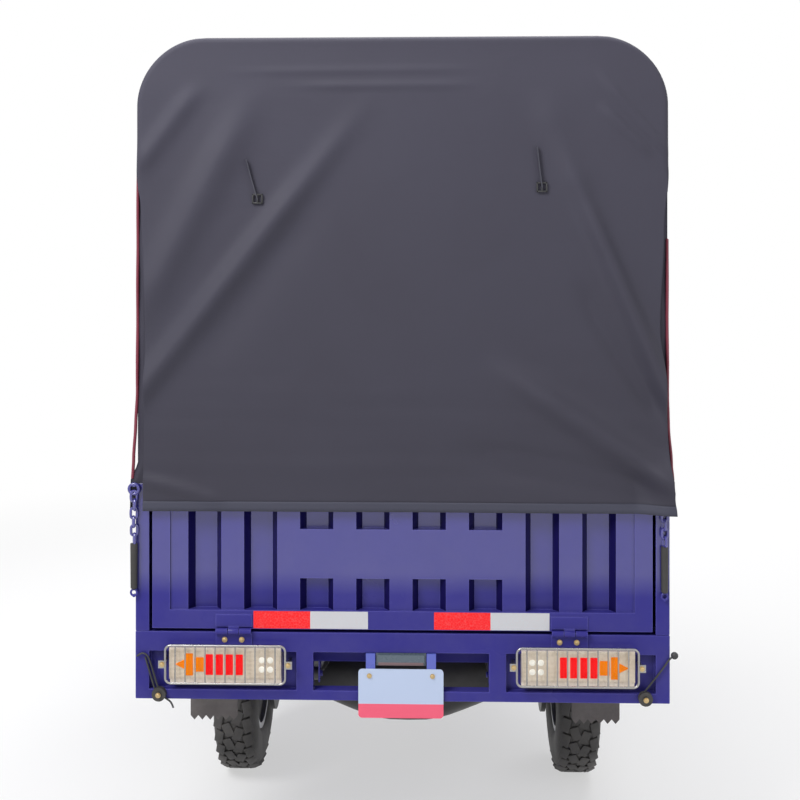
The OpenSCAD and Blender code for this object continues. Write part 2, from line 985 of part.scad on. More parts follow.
module tailgate_hinges() {
  half_slot = hinge_slot_width / 2;
  clear = knuckle_radius + touch_gap;
  color("slateblue")
    mirrored()
      translate([hinge_offset, 0, 0])
        union() {
          difference() {
            union() {
              block(either(hinge_leaf_width / 2), around(bar_y, [-hinge_leaf_thickness, 0]),
                [hinge_z - hinge_low_height, bar_top]);
              for (s = either(knuckle_spacing_width / 2))
                translate([s, 0, 0]) {
                  rod_x(knuckle_radius, either(knuckle_length / 2), hinge_y, hinge_z);
                  block(either(knuckle_length / 2), [hinge_y, bar_y],
                    around(hinge_z, [-knuckle_radius, -hinge_rise_height]));
                }
            }
            block(either(half_slot), [hinge_y - clear, bar_y + cut_past], around(hinge_z, either(clear)));
          }
          rod_x(hinge_pin_radius, either(hinge_pin_length / 2), hinge_y, hinge_z);
        }
}

module gate_hinge_leaf() {
  half = gate_knuckle_length / 2;
  low = hinge_z + knuckle_radius + cut_past;
  difference() {
    union() {
      block(either(hinge_leaf_width / 2), around(bar_y, [-hinge_leaf_thickness, 0]),
        around(low, [0, hinge_leaf_height]));
      block(either(half), [hinge_y + cut_past, bar_y - hinge_stand_height], [hinge_z, low + cut_past]);
      rod_x(knuckle_radius, either(half), hinge_y, hinge_z);
    }
    rod_x(hinge_pin_radius + run_gap, either(knuckle_length), hinge_y, hinge_z);
  }
}

module tailgate() {
  x = either(gate_half);
  y = around(bar_y, [0, gate_thickness]);
  field = either(gate_field_half);
  field_y = bar_y + gate_field_depth;
  low = deck_height + gate_rail_height;
  high = board_top - gate_top_height;
  outer = [for (c = gate_channels) if (abs(c) > gate_panel_half) c];
  color("darkslateblue")
    union() {
      block(x, y, [deck_height, low]);
      block(x, y, [high, board_top]);
      mirrored()
        block([gate_field_half, gate_half], y, [deck_height, board_top]);
      translate([0, field_y, 0]) {
        pressed_sheet(field, gate_channels, [low, gate_panel_low]);
        pressed_sheet(field, outer, [gate_panel_low, gate_panel_high]);
        pressed_sheet(field, gate_channels, [gate_panel_high, high]);
      }
      for (z = [gate_panel_low, gate_panel_high - sheet_thickness])
        block(either(gate_panel_half), around(field_y, [0, channel_depth + sheet_thickness]),
          [z, z + sheet_thickness]);
      mirrored()
        translate([hinge_offset, 0, 0])
          gate_hinge_leaf();
    }
}

module reflective_tapes() {
  color("crimson")
    mirrored()
      block([tape_inner, tape_outer], around(bar_y, [-tape_thickness, 0]),
        around(deck_height, [tape_edge_width, gate_rail_height - tape_edge_width]));
}

// Canopy
function corner_arc(w, t,
  r) = [for (a = [0 : corner_step_angle : 90]) [w - r + r * cos(a), t - r + r * sin(a)]];
function canopy_side(d) = let (w = canopy_half - d, t = canopy_top - d) concat(
  [[w + hem_flare_width, hem_z], [w + hem_flare_width - canvas_thickness / 2, board_top + lap_height],
   [w, board_top + flare_height]],
  corner_arc(w, t, canopy_corner_radius - d)
);
function canopy_outline(d) = concat(canopy_side(d), flipped(canopy_side(d)));

module canopy_bows() {
  first = bar_y + bow_setback + bow_radius;
  last = box_front_y - bow_setback - bow_radius;
  r = bow_bend_radius;
  step = (last - first) / (bow_count - 1);
  color("slateblue")
    union() {
      for (i = [0 : bow_count - 1])
        translate([0, first + i * step, 0]) {
          rod_x(bow_radius, either(bow_half - r), 0, bow_top);
          mirrored() {
            rod_z(bow_radius, bow_half, 0, [board_top, bow_top - r]);
            translate([bow_half - r, 0, bow_top - r])
              rotate([90, 0, 0])
                rotate_extrude(angle = 90)
                  translate([r, 0])
                    circle(r = bow_radius);
          }
        }
      for (x = [-bow_half / 2, 0, bow_half / 2])
        rod_y(stringer_radius, x, [first, last], bow_top);
      mirrored()
        rod_y(stringer_radius, bow_half, [first, last], stringer_z);
    }
}

module canopy_cover() {
  front = box_front_y + cover_front_gap;
  half_loop = loop_width / 2;
  color("dimgray")
    difference() {
      union() {
        slab_y(concat(canopy_outline(0), reversed(canopy_outline(canvas_thickness))),
          [bar_y, front + canvas_thickness]);
        slab_y(canopy_outline(canvas_thickness / 2), around(front, [0, canvas_thickness]));
        for (x = curtain_loops)
          block(around(x, either(half_loop)), [curtain_y - loop_thickness, bar_y + cover_front_gap],
            [curtain_z - loop_thickness, canopy_top - canvas_thickness / 2]);
      }
      for (x = curtain_loops)
        rod_x(curtain_rod_radius + run_gap, around(x, either(half_loop + cut_past)), curtain_y, curtain_z);
    }
}

module rear_curtain() {
  side = corner_arc(curtain_half, curtain_top, canopy_corner_radius - curtain_side_gap);
  color("dimgray")
    union() {
      difference() {
        slab_y(concat([[-curtain_half, hem_z], [curtain_half, hem_z]], side, flipped(side)),
          around(bar_y, [-curtain_back_length, -move_gap]));
        for (x = curtain_loops)
          block(around(x, either(loop_width / 2 + loop_gap)),
            around(bar_y, [-curtain_back_length - cut_past, 0]),
            [curtain_z - loop_notch_height, canopy_top]);
      }
      rod_x(curtain_rod_radius, either(curtain_half - canopy_corner_radius), curtain_y, curtain_z);
    }
}

module chain_end(z) {
  x = half_box + chain_stand_width;
  t = chain_tab_thickness;
  block([half_box - chain_tab_lap, x + t], around(bar_y, [-t, 0]), around(z, either(chain_tab_height / 2)));
  block(around(x, either(t)), [chain_y - t, bar_y], around(z, either(chain_arm_height / 2)));
}

module gate_chains() {
  x = half_box + chain_stand_width;
  top = board_top - chain_drop_height;
  sleeve_top = top - chain_link_count * chain_link_length;
  sleeve_low = sleeve_top - chain_sleeve_length;
  color("darkslateblue")
    mirrored()
      union() {
        chain_end(top);
        for (i = [0 : chain_link_count - 1])
          rod_z(i % 2 == 0 ? chain_link_radius : chain_wire_radius, x, chain_y,
            around(top - i * chain_link_length, [-chain_link_length, 0]));
        rod_z(chain_sleeve_radius, x, chain_y, [sleeve_low, sleeve_top]);
        chain_end(sleeve_low);
      }
}

// Rear axle and springs
module rear_axle() {
  plate = axle_reach + brake_plate_thickness;
  collar = plate + axle_collar_length;
  end = wheel_offset + rear_spindle_length;
  profile = concat(
    [[0, 0]],
    [for (b = bowl_profile) [b[1] * axle_bowl_radius, b[0] * axle_reach]],
    [[axle_tube_radius, 0.81 * axle_reach], [axle_tube_radius, axle_reach], [brake_plate_radius, axle_reach],
     [brake_plate_radius, plate], [axle_collar_radius, plate], [axle_collar_radius, collar],
     [rear_spindle_radius, collar], [rear_spindle_radius, end], [0, end]]
  );
  start = axle_bowl_radius - pinion_lap_length;
  color("dimgray")
    translate([0, rear_axle_y, axle_z])
      union() {
        mirrored()
          about_x(profile);
        rod_y(pinion_radius, 0, [start, start + pinion_length], 0);
        rod_y(pinion_neck_radius, 0, around(start + pinion_length, [0, pinion_neck_length]), 0);
        mirrored()
          block(around(rail_offset, either(clamp_plate_width / 2)), either(clamp_plate_length / 2),
            [spring_base_height, spring_seat_height]);
      }
}

module leaf_spring() {
  function leaf_half(i) = spring_half - i * (spring_half - spring_short_half) / (leaf_count - 0.5);
  function leaf_end(i) = i < leaf_count - 1 ? leaf_half(i + 1) : spring_seat_half;
  function leaf_z(y) = pack_top + spring_rise_height * pow(y / spring_half, 2);
  top = [for (k = [-8 : 8]) let (y = k * spring_half / 8) [y, leaf_z(y)]];
  steps = [
    for (i = [0 : leaf_count - 1])
      for (k = [0 : 3])
        let (y = between(leaf_half(i), leaf_end(i), k / 3))
          [y, leaf_z(y) - (i + 1) * leaf_thickness]
  ];
  base = [[spring_seat_half, seat_z], [-spring_seat_half, seat_z]];
  outline = concat(top, steps, base, [for (p = reversed(steps)) [-p.x, p.y]]);
  x = around(rail_offset, either(spring_width / 2));
  plate_x = clamp_plate_width / 2;
  plate_y = clamp_plate_length / 2;
  color("gray")
    translate([0, rear_axle_y, 0])
      union() {
        difference() {
          union() {
            slab_x(outline, x);
            for (s = either(spring_half))
              rod_x(eye_radius, x, s, eye_z);
          }
          for (s = either(spring_half))
            rod_x(eye_pin_radius + touch_gap, x + either(cut_past), s, eye_z);
        }
        block(around(rail_offset, either(plate_x)), either(plate_y),
          around(pack_top, [-leaf_thickness / 2, clamp_plate_thickness]));
        for (u = either(plate_x - clamp_bolt_inset))
          for (v = either(plate_y - clamp_bolt_inset))
            rod_z(clamp_bolt_radius, rail_offset + u, v,
              [seat_z, pack_top + clamp_plate_thickness + clamp_bolt_length]);
      }
}

module spring_hangers() {
  x = around(rail_offset, either(spring_width / 2 + hanger_gap));
  wide = x + either(hanger_thickness);
  half = hanger_width / 2;
  color("darkslateblue")
    mirrored()
      translate([0, rear_axle_y, 0])
        for (s = either(spring_half))
          translate([0, s, 0])
            union() {
              for (u = [[wide[0], x[0]], [x[1], wide[1]]])
                block(u, either(half), [eye_z - half, rail_bottom]);
              block(wide, either(hanger_foot_width / 2), around(rail_bottom, [-hanger_foot_thickness, 0]));
              rod_x(eye_pin_radius, x + either(hanger_pin_length), 0, eye_z);
            }
}

module mudflaps() {
  x = around(wheel_offset, [-flap_inner_reach, flap_outer_reach]);
  low = axle_z + flap_rise_height;
  step = (x[1] - x[0]) / flap_teeth;
  saw = [
    for (i = [0 : flap_teeth - 1])
      each [[x[0] + (i + 0.02) * step, low + flap_tooth_height], [x[0] + (i + 0.5) * step, low]]
  ];
  color("dimgray")
    mirrored()
      slab_y(concat([[x[0], bar_top]], saw, [[x[1], low + flap_tooth_height], [x[1], bar_top]]),
        around(flap_y, [0, flap_thickness]));
}

// Drive line
module drive_shaft() {
  rear = [0, pinion_face_y + joint_gap, axle_z];
  front = [0, engine_y - output_length - joint_gap, engine_z - output_drop_height];
  color("gray")
    union() {
      strut(rear, front, shaft_radius);
      rod_y(joint_radius, 0, around(rear.y, [-joint_gap, joint_length - joint_gap]), rear.z);
      rod_y(joint_radius, 0, around(front.y, [joint_gap - joint_length, joint_gap]), front.z);
    }
}

module engine() {
  y = engine_y;
  z = engine_z;
  base = z + barrel_base_height;
  head = base + barrel_height;
  mount_x = around(mount_inner, [0, mount_width]);
  front_end = cross_front_y + mount_length;
  rear_post = [y - clutch_back - mount_post_length, y - clutch_back];
  color("silver")
    union() {
      slab_x([for (p = case_points) [y + p[0], z + p[1]]], either(case_half));
      rod_x(clutch_radius, either(clutch_half), y - clutch_back, z + clutch_rise_height);
      rod_x(magneto_radius, either(magneto_half), y + magneto_lead, z + magneto_rise_height);
      rod_y(output_radius, 0, [y - output_length, y - output_start], z - output_drop_height);
      rod_z(barrel_radius, 0, barrel_y, [base, head]);
      for (i = [0 : fin_count - 1])
        rod_z(fin_radius, 0, barrel_y,
          around(base + fin_start_height + i * fin_pitch_height, [0, fin_thickness]));
      block(either(head_half_width), around(barrel_y, either(head_half_width)),
        around(head, [0, head_height]));
      rod_x(port_radius, either(port_half_width), barrel_y, port_z);
      mirrored() {
        block(mount_x, [cross_front_y, front_end], [z, rail_bottom + cross_inset]);
        block(mount_x, [y + magneto_lead, front_end], around(z, [0, mount_height]));
        block(mount_x, [box_front_y + mount_arm_gap, rear_post[1]],
          around(rail_bottom + mount_arm_rise, [0, mount_arm_height]));
        block(mount_x, rear_post, [z, rail_bottom + mount_arm_rise + mount_arm_height]);
      }
    }
}

module exhaust() {
  can_x = rail_offset + can_side_gap;
  can_y = [bearer_y(bearer_count - 3) - can_rear_gap, box_front_y - can_front_gap];
  low = port_z - pipe_run_height;
  end = can_y[1] - can_lap;
  drop_x = 0.767 * rail_gap_half;
  route = smooth_path(smooth_path([
    [port_half_width + touch_gap, barrel_y, port_z],
    [port_half_width + pipe_lead_length, barrel_y, port_z],
    [drop_x, barrel_y, port_z - pipe_fall_height],
    [1.065 * drop_x, barrel_y - pipe_radius, port_z - pipe_drop_height],
    [1.09 * drop_x, between(barrel_y, end, 0.35), low],
    [between(drop_x, can_x, 0.58), between(barrel_y, end, 0.75), low],
    [can_x, can_y[1] + can_lead_length, low],
    [can_x, end, low]
  ]));
  color("silver")
    union() {
      bent_tube(route, pipe_radius, [0, 0.2, 1]);
      rod_y(can_radius, can_x, can_y, low);
      rod_y(tail_pipe_radius, can_x, can_y + [-tail_pipe_length, 0], low);
      for (i = [bearer_count - 3, bearer_count - 2])
        block(around(can_x, either(can_strap_thickness / 2)),
          around(bearer_y(i) + can_strap_inset, [0, can_strap_width]), [low + can_radius - can_strap_lap,
            rail_top]);
    }
}

// Rider's place
module seat_base() {
  y = [seat_y0 + seat_base_rear_gap, seat_y1 - seat_base_front_gap];
  wall = [seat_base_wall, -seat_base_wall];
  color("darkslateblue")
    difference() {
      block(either(seat_base_half), y, seat_base_z);
      block(either(seat_base_half - seat_base_wall), y + wall, seat_base_z + [-cut_past, -seat_base_wall]);
    }
}

module rider_seat() {
  color("dimgray")
    block(either(seat_base_half - cushion_inset), [seat_y0, seat_y1],
      around(seat_base_z[1], [0, cushion_height]));
}

module seat_backrest() {
  color("dimgray")
    block(either(seat_base_half - cushion_inset), around(box_front_y, [0, backrest_thickness]),
      around(seat_base_z[1] + cushion_height + backrest_gap, [0, backrest_height]));
}

module fuel_tank() {
  y = tank_y;
  low = tank_low;
  crown = tank_crown;
  function tank_at(t) = between(y[0], y[1], t);
  side = [
    [y[0], low[0]], [tank_at(0.14), low[0]], [tank_at(0.83), low[1]], [y[1], low[1]],
    [y[1], low[1] + tank_nose_height], [tank_at(0.88), low[1] + tank_nose_height + tank_edge_width / 4],
    [tank_at(0.74), crown - tank_edge_width / 3], [tank_at(0.55), crown],
    [tank_at(0.3), crown - tank_edge_height],
    [tank_at(0.08), crown - tank_shoulder_height], [y[0], crown - 1.7 * tank_shoulder_height]
  ];
  shoulder = [
    [tank_half, 0], [tank_half, crown - tank_shoulder_height],
    [tank_half - tank_edge_width, crown - tank_edge_height],
    [tank_half - tank_round_width, crown]
  ];
  color("darkslateblue")
    union() {
      intersection() {
        slab_x(side, either(tank_half));
        slab_y(concat(shoulder, flipped(shoulder)), y + either(cut_past));
      }
      rod_z(tank_cap_radius, 0, tank_at(0.5), around(crown, [-tank_cap_depth, tank_cap_height]));
    }
}

module footboards() {
  x = foot_offset + foot_lug_width + touch_gap;
  y = around(foot_y, [-board_back_length, board_front_length]);
  z = foot_z - board_fall_height;
  color("darkslateblue")
    mirrored()
      union() {
        block(around(x, [0, board_width]), y, around(z, [0, board_sheet_thickness]));
        block(around(x, [0, board_width]), around(y[1], [-board_sheet_thickness, 0]),
          around(z, [0, board_toe_height]));
        block(around(x, [0, board_lug_width]), around(y[1], [-foot_lug_length, 0]),
          around(z, [0, board_lug_height]));
      }
}

// Steering group
module fork_clamp(z) {
  reach = leg_offset + clamp_leg_reach;
  back = fork_lead_length - clamp_front_length;
  side = [[reach, fork_lead_length + clamp_front_length], [reach, back],
    [clamp_nose_half, -clamp_nose_length]];
  slab_z(concat(side, flipped(side)), z);
}

module fork() {
  color("gray")
    steer()
      union() {
        mirrored() {
          rod_z(slider_radius, leg_offset, fork_lead_length, [-slider_foot_height, slider_top]);
          rod_z(fork_tube_radius, leg_offset, fork_lead_length, [slider_top - 1, upper_clamp[1] - 1]);
        }
        rod_x(front_spindle_radius, either(leg_offset + front_spindle_reach), fork_lead_length, 0);
        block(either(leg_offset), around(fork_lead_length, either(brace_length / 2)),
          around(guard_inner_radius + guard_sheet_thickness + guard_pad_height, [0, brace_height]));
        fork_clamp(lower_clamp);
        fork_clamp(upper_clamp);
        rod_z(stem_radius, 0, 0, [lower_clamp[0] + stem_inset, upper_clamp[1] - stem_inset]);
      }
}

module fork_gaiters() {
  z = around(slider_top, [0, gaiter_length]);
  color("dimgray")
    steer()
      mirrored()
        difference() {
          rod_z(gaiter_radius, leg_offset, fork_lead_length, z);
          rod_z(fork_tube_radius + touch_gap, leg_offset, fork_lead_length, z + either(cut_past));
        }
}

module handlebar() {
  half = smooth_path([bar_start, bar_straight, bar_sweep, bar_bend, bar_end]);
  riser_x = around(riser_spacing_width / 2, either(riser_width / 2));
  color("silver")
    steer()
      union() {
        bent_tube(concat(flipped3(half), half), handlebar_radius, [0, 1, 0.2]);
        mirrored()
          block(riser_x, around(riser_lead, either(riser_length / 2)), [upper_clamp[1], bar_z + riser_lap]);
      }
}

module handlebar_grips() {
  d = unit(bar_end - bar_bend);
  start = bar_end - (grip_length - grip_past_length) * d;
  color("dimgray")
    steer()
      mirrored()
        difference() {
          strut(start, bar_end + grip_past_length * d, grip_radius);
          strut(start - cut_past * d, bar_end + 1 * d, handlebar_radius + touch_gap);
        }
}

module at_headlamp() {
  steer()
    translate([0, headlamp_lead, headlamp_z])
      rotate([-rake, 0, 0])
        children();
}

module headlamp() {
  back = headlamp_face - headlamp_length;
  color("dimgray")
    union() {
      at_headlamp() {
        rod_y(headlamp_radius, 0, [back, headlamp_face], 0);
        translate([0, back, 0])
          rotate([90, 0, 0])
            cylinder(r1 = headlamp_radius, r2 = headlamp_back_radius, h = headlamp_back_length);
      }
      steer()
        mirrored()
          block(around(headlamp_stay_inner, [0, headlamp_stay_thickness]),
            [fork_lead_length + clamp_front_length, headlamp_lead - headlamp_stay_gap],
            lower_clamp + [headlamp_stay_inset, -headlamp_stay_inset]);
    }
}

module headlamp_lens() {
  color("lightcyan")
    at_headlamp()
      union() {
        rod_y(lens_radius, 0, around(headlamp_face, [0, lens_thickness]), 0);
        rod_y(lens_dome_radius, 0, around(headlamp_face, [lens_thickness - 1, lens_dome_height]), 0);
      }
}

module front_indicators() {
  y = fork_lead_length + indicator_lead;
  z = upper_clamp[0] + indicator_rise_height;
  color("orange")
    steer()
      union() {
        block(either(indicator_stem_radius),
          [fork_lead_length + clamp_front_length, y + indicator_foot_half],
          around(z, either(indicator_foot_half)));
        rod_x(indicator_stem_radius, either(indicator_stem_reach), y, z);
        mirrored()
          rod_y(indicator_radius, indicator_reach,
            around(y, [-indicator_back_length, indicator_front_length]), z);
      }
}

module mirrors() {
  foot = between(bar_sweep, bar_bend, 0.5) + [0, 0, handlebar_radius + touch_gap];
  head = foot + [mirror_out_width, -mirror_back_length, mirror_rise_height];
  color("dimgray")
    steer()
      mirrored()
        union() {
          strut(foot + [0, 0, mirror_stem_foot], head, mirror_stem_radius);
          rod_z(mirror_boss_radius, foot.x, foot.y, around(foot.z, [0, mirror_boss_height]));
          translate(head)
            rotate([-rake, 0, 0])
              rod_y(mirror_radius, mirror_shift_width, either(mirror_half_thickness), mirror_shift_height);
        }
}

module speedometer() {
  color("dimgray")
    steer()
      translate([0, fork_lead_length + dial_lead, upper_clamp[1]])
        union() {
          block(either(dial_foot_half), [-dial_lead, dial_foot_length - dial_lead],
            [0, dial_foot_height + 1]);
          rod_z(dial_radius, 0, 0, around(dial_foot_height, [0, dial_height]));
        }
}

module front_mudguard() {
  r = guard_inner_radius;
  t = guard_sheet_thickness;
  lip = guard_half_width;
  bend = lip - guard_shoulder_width;
  half = [[r - guard_lip_height, lip - t], [r - guard_lip_height, lip], [r, bend]];
  inner = [r - t, bend - t + 1];
  color("darkslateblue")
    translate([0, front_axle_y, axle_z])
      union() {
        rotate([0, 90, 0])
          rotate([0, 0, 90 + guard_start_angle])
            rotate_extrude(angle = guard_sweep_angle, $fn = 96)
              polygon(concat([inner], half, [for (p = reversed(concat([inner], half))) [p.x, -p.y]]));
        rotate([rake, 0, 0])
          block(either(guard_pad_half), either(guard_pad_length / 2),
            around(r, [-t / 2, t + guard_pad_height]));
      }
}

// Wheels
module tyre(width) {
  bead = rim_radius + touch_gap;
  w = width / 2;
  tip = tyre_radius;
  wall = tyre_wall_thickness;
  b = w - tyre_bead_inset;
  outer = [
    [bead, b], [bead + tyre_bead_height, b], [bead + tyre_belt_thickness, w - bulge_width],
    [bead + wall_low_height, w], [tip - wall_high_height, w], [tip - wall, w - bulge_width],
    [tip, w - tyre_shoulder_width]
  ];
  inner = [
    [bead, b - tyre_bead_width], [bead + tyre_bead_width, b - tyre_bead_width],
    [bead + 2 * wall, w - wall - bulge_width], [bead + wall_low_height, w - wall],
    [tip - wall_high_height, w - wall], [tip - tyre_belt_thickness, w - tyre_belt_thickness - bulge_width]
  ];
  shell = concat(reversed(inner), outer);
  about_x(concat(shell, [for (p = reversed(shell)) [p.x, -p.y]]));
}

module rim(width, bore, hub) {
  b = width / 2 - tyre_bead_inset + touch_gap;
  t = rim_sheet_thickness;
  r = rim_radius;
  lip = r + rim_lip_height;
  bore_radius = bore + run_gap;
  about_x([
    [bore_radius, -hub], [hub_radius, -hub], [hub_radius, -disc_dish], [disc_radius, -disc_back],
    [r - t, -disc_back],
    [r - t, -b - t], [lip, -b - t], [lip, -b], [r, -b], [r, b], [lip, b], [lip, b + t], [r - t, b + t],
    [r - t, -disc_front], [disc_radius + disc_front, -disc_front], [hub_radius, disc_back],
    [hub_radius, hub],
    [bore_radius, hub]
  ]);
}

module front_tyre() {
  color("dimgray")
    translate([0, front_axle_y, axle_z])
      tyre(front_tyre_width);
}

module front_rim() {
  color("silver")
    translate([0, front_axle_y, axle_z])
      rim(front_tyre_width, front_spindle_radius, front_hub_half);
}

module rear_tyre(s) {
  color("dimgray")
    translate([s * wheel_offset, rear_axle_y, axle_z])
      tyre(rear_tyre_width);
}

module rear_rim(s) {
  color("silver")
    translate([s * wheel_offset, rear_axle_y, axle_z])
      on_side(s)
        rim(rear_tyre_width, rear_spindle_radius, rear_hub_half);
}

chassis_rails();
chassis_crossmembers();
deck_bearers();
front_frame();
rear_light_bar();
plate_bracket();
number_plate();
plate_lamp();
on_side(-1) tail_lamp();  // tail_lamp_left
on_side(1) tail_lamp();  // tail_lamp_right
on_side(-1) lamp_guard();  // lamp_guard_left
on_side(1) lamp_guard();  // lamp_guard_right
load_deck();
on_side(-1) side_board();  // side_board_left
on_side(1) side_board();  // side_board_right
headboard();
tailgate_hinges();
canopy_bows();
canopy_cover();
gate_chains();
tie_buffers();
rear_axle();
on_side(-1) leaf_spring();  // leaf_spring_left
on_side(1) leaf_spring();  // leaf_spring_right
spring_hangers();
drive_shaft();
engine();
exhaust();
fuel_tank();
seat_base();
rider_seat();
seat_backrest();
footboards();
mudflaps();
tailgate();
reflective_tapes();
rear_curtain();
fork();
fork_gaiters();
handlebar();
handlebar_grips();
headlamp();
headlamp_lens();
front_indicators();
mirrors();
speedometer();
front_mudguard();
front_tyre();
front_rim();
rear_tyre(-1);  // rear_tyre_left
rear_rim(-1);  // rear_rim_left
rear_tyre(1);  // rear_tyre_right
rear_rim(1);  // rear_rim_right
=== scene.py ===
import math
import bmesh
import bpy
from mathutils import Matrix, Vector, geometry, noise


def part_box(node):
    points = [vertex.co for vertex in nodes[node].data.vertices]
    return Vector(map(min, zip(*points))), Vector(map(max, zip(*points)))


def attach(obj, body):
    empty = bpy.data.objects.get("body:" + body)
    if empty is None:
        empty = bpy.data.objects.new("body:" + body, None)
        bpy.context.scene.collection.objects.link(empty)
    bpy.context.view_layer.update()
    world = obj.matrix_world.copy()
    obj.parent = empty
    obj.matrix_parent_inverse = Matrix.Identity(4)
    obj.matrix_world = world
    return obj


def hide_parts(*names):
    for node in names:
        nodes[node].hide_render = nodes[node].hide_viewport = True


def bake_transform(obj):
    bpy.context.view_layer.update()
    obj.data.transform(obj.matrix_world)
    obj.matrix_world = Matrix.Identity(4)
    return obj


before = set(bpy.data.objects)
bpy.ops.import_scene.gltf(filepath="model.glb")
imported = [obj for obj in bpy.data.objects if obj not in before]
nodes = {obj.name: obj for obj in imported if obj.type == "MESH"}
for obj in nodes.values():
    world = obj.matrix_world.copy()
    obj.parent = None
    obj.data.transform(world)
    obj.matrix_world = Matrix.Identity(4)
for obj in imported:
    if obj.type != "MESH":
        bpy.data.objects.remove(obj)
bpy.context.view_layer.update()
scene = bpy.context.scene
scene.view_settings.view_transform = "Standard"
moved = Matrix.Translation
print("frame loaded:", len(nodes), "nodes")

# Lines of the vehicle that the pieces hang on, from the frame
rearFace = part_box("rear_light_bar")[0].y
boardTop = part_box("side_board_right")[1].z
coverLow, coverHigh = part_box("canopy_cover")
curtainLow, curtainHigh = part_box("rear_curtain")

# Camera at the photo's place: level, a little to the right, turned a little left
cameraSet = {
    "distance": 3.20, "side": 0.0925, "height": 1.60, "turnLeft": 1.7,
    "focalPixels": 1231.0, "imagePixels": 800.0, "horizonRow": 271.0, "sensor": 36.0,
}


def makeCamera(c):
    data = bpy.data.cameras.new("photoCamera")
    data.sensor_width = c["sensor"]
    data.lens = c["sensor"] * c["focalPixels"] / c["imagePixels"]
    data.shift_y = (c["horizonRow"] - c["imagePixels"] / 2) / c["imagePixels"]
    data.clip_end = 100
    camera = bpy.data.objects.new("photoCamera", data)
    camera.location = (c["side"], rearFace - c["distance"], c["height"])
    camera.rotation_euler = (math.radians(90), 0, math.radians(c["turnLeft"]))
    scene.collection.objects.link(camera)
    scene.camera = camera


makeCamera(cameraSet)
print("camera placed")


class nodeTools:
    # adds shader nodes; an input takes a value, a node or a (node, output) pair
    def __init__(self, holder):
        holder.use_nodes = True
        self.tree = holder.node_tree
        self.tree.nodes.clear()

    def add(self, kind, inputs=None, **settings):
        made = self.tree.nodes.new("ShaderNode" + kind)
        for key, value in settings.items():
            setattr(made, key, value)
        self.feed(made, inputs or {})
        return made

    def feed(self, node, inputs):
        for entry, value in inputs.items():
            source = value if isinstance(value, tuple) else (value, 0)
            if isinstance(source[0], bpy.types.Node):
                self.tree.links.new(source[0].outputs[source[1]], node.inputs[entry])
            else:
                node.inputs[entry].default_value = value

    def maths(self, operation, *values):
        return self.add("Math", dict(enumerate(values)), operation=operation)

    def ranged(self, source, fromLow, fromHigh, toLow, toHigh):
        return self.add("MapRange", {0: source, 1: fromLow, 2: fromHigh, 3: toLow, 4: toHigh})

    def mixed(self, factor, first, second):
        # first and second are a colour or a (node, output) pair
        pair = [v if isinstance(v[0], bpy.types.Node) else (*v, 1) for v in (first, second)]
        return self.add("Mix", {0: factor, 6: pair[0], 7: pair[1]}, data_type="RGBA"), 2


def newMaterial(name, inputs):
    made = bpy.data.materials.new(name)
    t = nodeTools(made)
    shader = t.add("BsdfPrincipled", inputs)
    t.out = t.add("OutputMaterial", {"Surface": shader})
    return made, t, shader


# Floor, white surroundings and soft studio lamps
stageSet = {
    "floorHalf": 30.0, "floorColour": (0.92, 0.92, 0.93, 1), "fade": (2.2, 5.0), "glow": 0.55,
    "worldStrength": 0.317,
    # name, place, aim, size, watts
    "lamps": [
        ("keyLamp", (-2.8, -4.7, 4.9), (0, -1.2, 1.1), 2.6, 238),
        ("fillLamp", (3.8, -4.6, 3.0), (0, -1.2, 0.9), 3.0, 31),
        ("frontLamp", (2.6, 4.8, 4.2), (0, 0.6, 0.8), 3.4, 152),
        ("topLamp", (0, -0.6, 5.6), (0, -0.4, 0), 4.0, 180),
    ],
}


def seenByCamera(t):
    # 1 for what the camera sees straight, in a mirror or through glass
    path = t.add("LightPath")
    straight = t.maths("MAXIMUM", (path, "Is Camera Ray"), (path, "Is Glossy Ray"))
    return t.maths("MAXIMUM", straight, (path, "Is Transmission Ray"))


def makeStage(s):
    scene.world = bpy.data.worlds.new("studio")
    t = nodeTools(scene.world)
    lit, shown = [t.add("Background", {"Color": (1, 1, 1, 1), "Strength": strength})
                  for strength in (s["worldStrength"], 1.0)]
    t.add("OutputWorld", {"Surface": t.add("MixShader", {"Fac": seenByCamera(t), 1: lit, 2: shown})})

    bm = bmesh.new()
    bmesh.ops.create_grid(bm, x_segments=1, y_segments=1, size=s["floorHalf"])
    mesh = bpy.data.meshes.new("floor")
    bm.to_mesh(mesh)
    bm.free()
    floor = bpy.data.objects.new("floor", mesh)
    scene.collection.objects.link(floor)
    pale, t, shader = newMaterial("paleFloor", {"Base Color": s["floorColour"], "Roughness": 0.9})
    # further off the floor melts into the white surroundings
    reach = t.add("VectorMath", {0: (t.add("TexCoord"), "Object")}, operation="LENGTH")
    far = t.add("MapRange", {0: (reach, "Value"), 1: s["fade"][0], 2: s["fade"][1], 3: s["glow"]},
                interpolation_type="SMOOTHSTEP")
    white = t.add("Emission", {"Strength": 1.0})
    amount = t.maths("MULTIPLY", far, seenByCamera(t))
    t.feed(t.out, {"Surface": t.add("MixShader", {"Fac": amount, 1: shader, 2: white})})
    mesh.materials.append(pale)

    for name, place, aim, size, watts in s["lamps"]:
        data = bpy.data.lights.new(name, "AREA")
        data.shape = "DISK"
        data.size = size
        data.energy = watts
        lamp = bpy.data.objects.new(name, data)
        lamp.location = place
        lamp.rotation_euler = (Vector(aim) - Vector(place)).to_track_quat("-Z", "Y").to_euler()
        scene.collection.objects.link(lamp)


makeStage(stageSet)
print("stage lit")

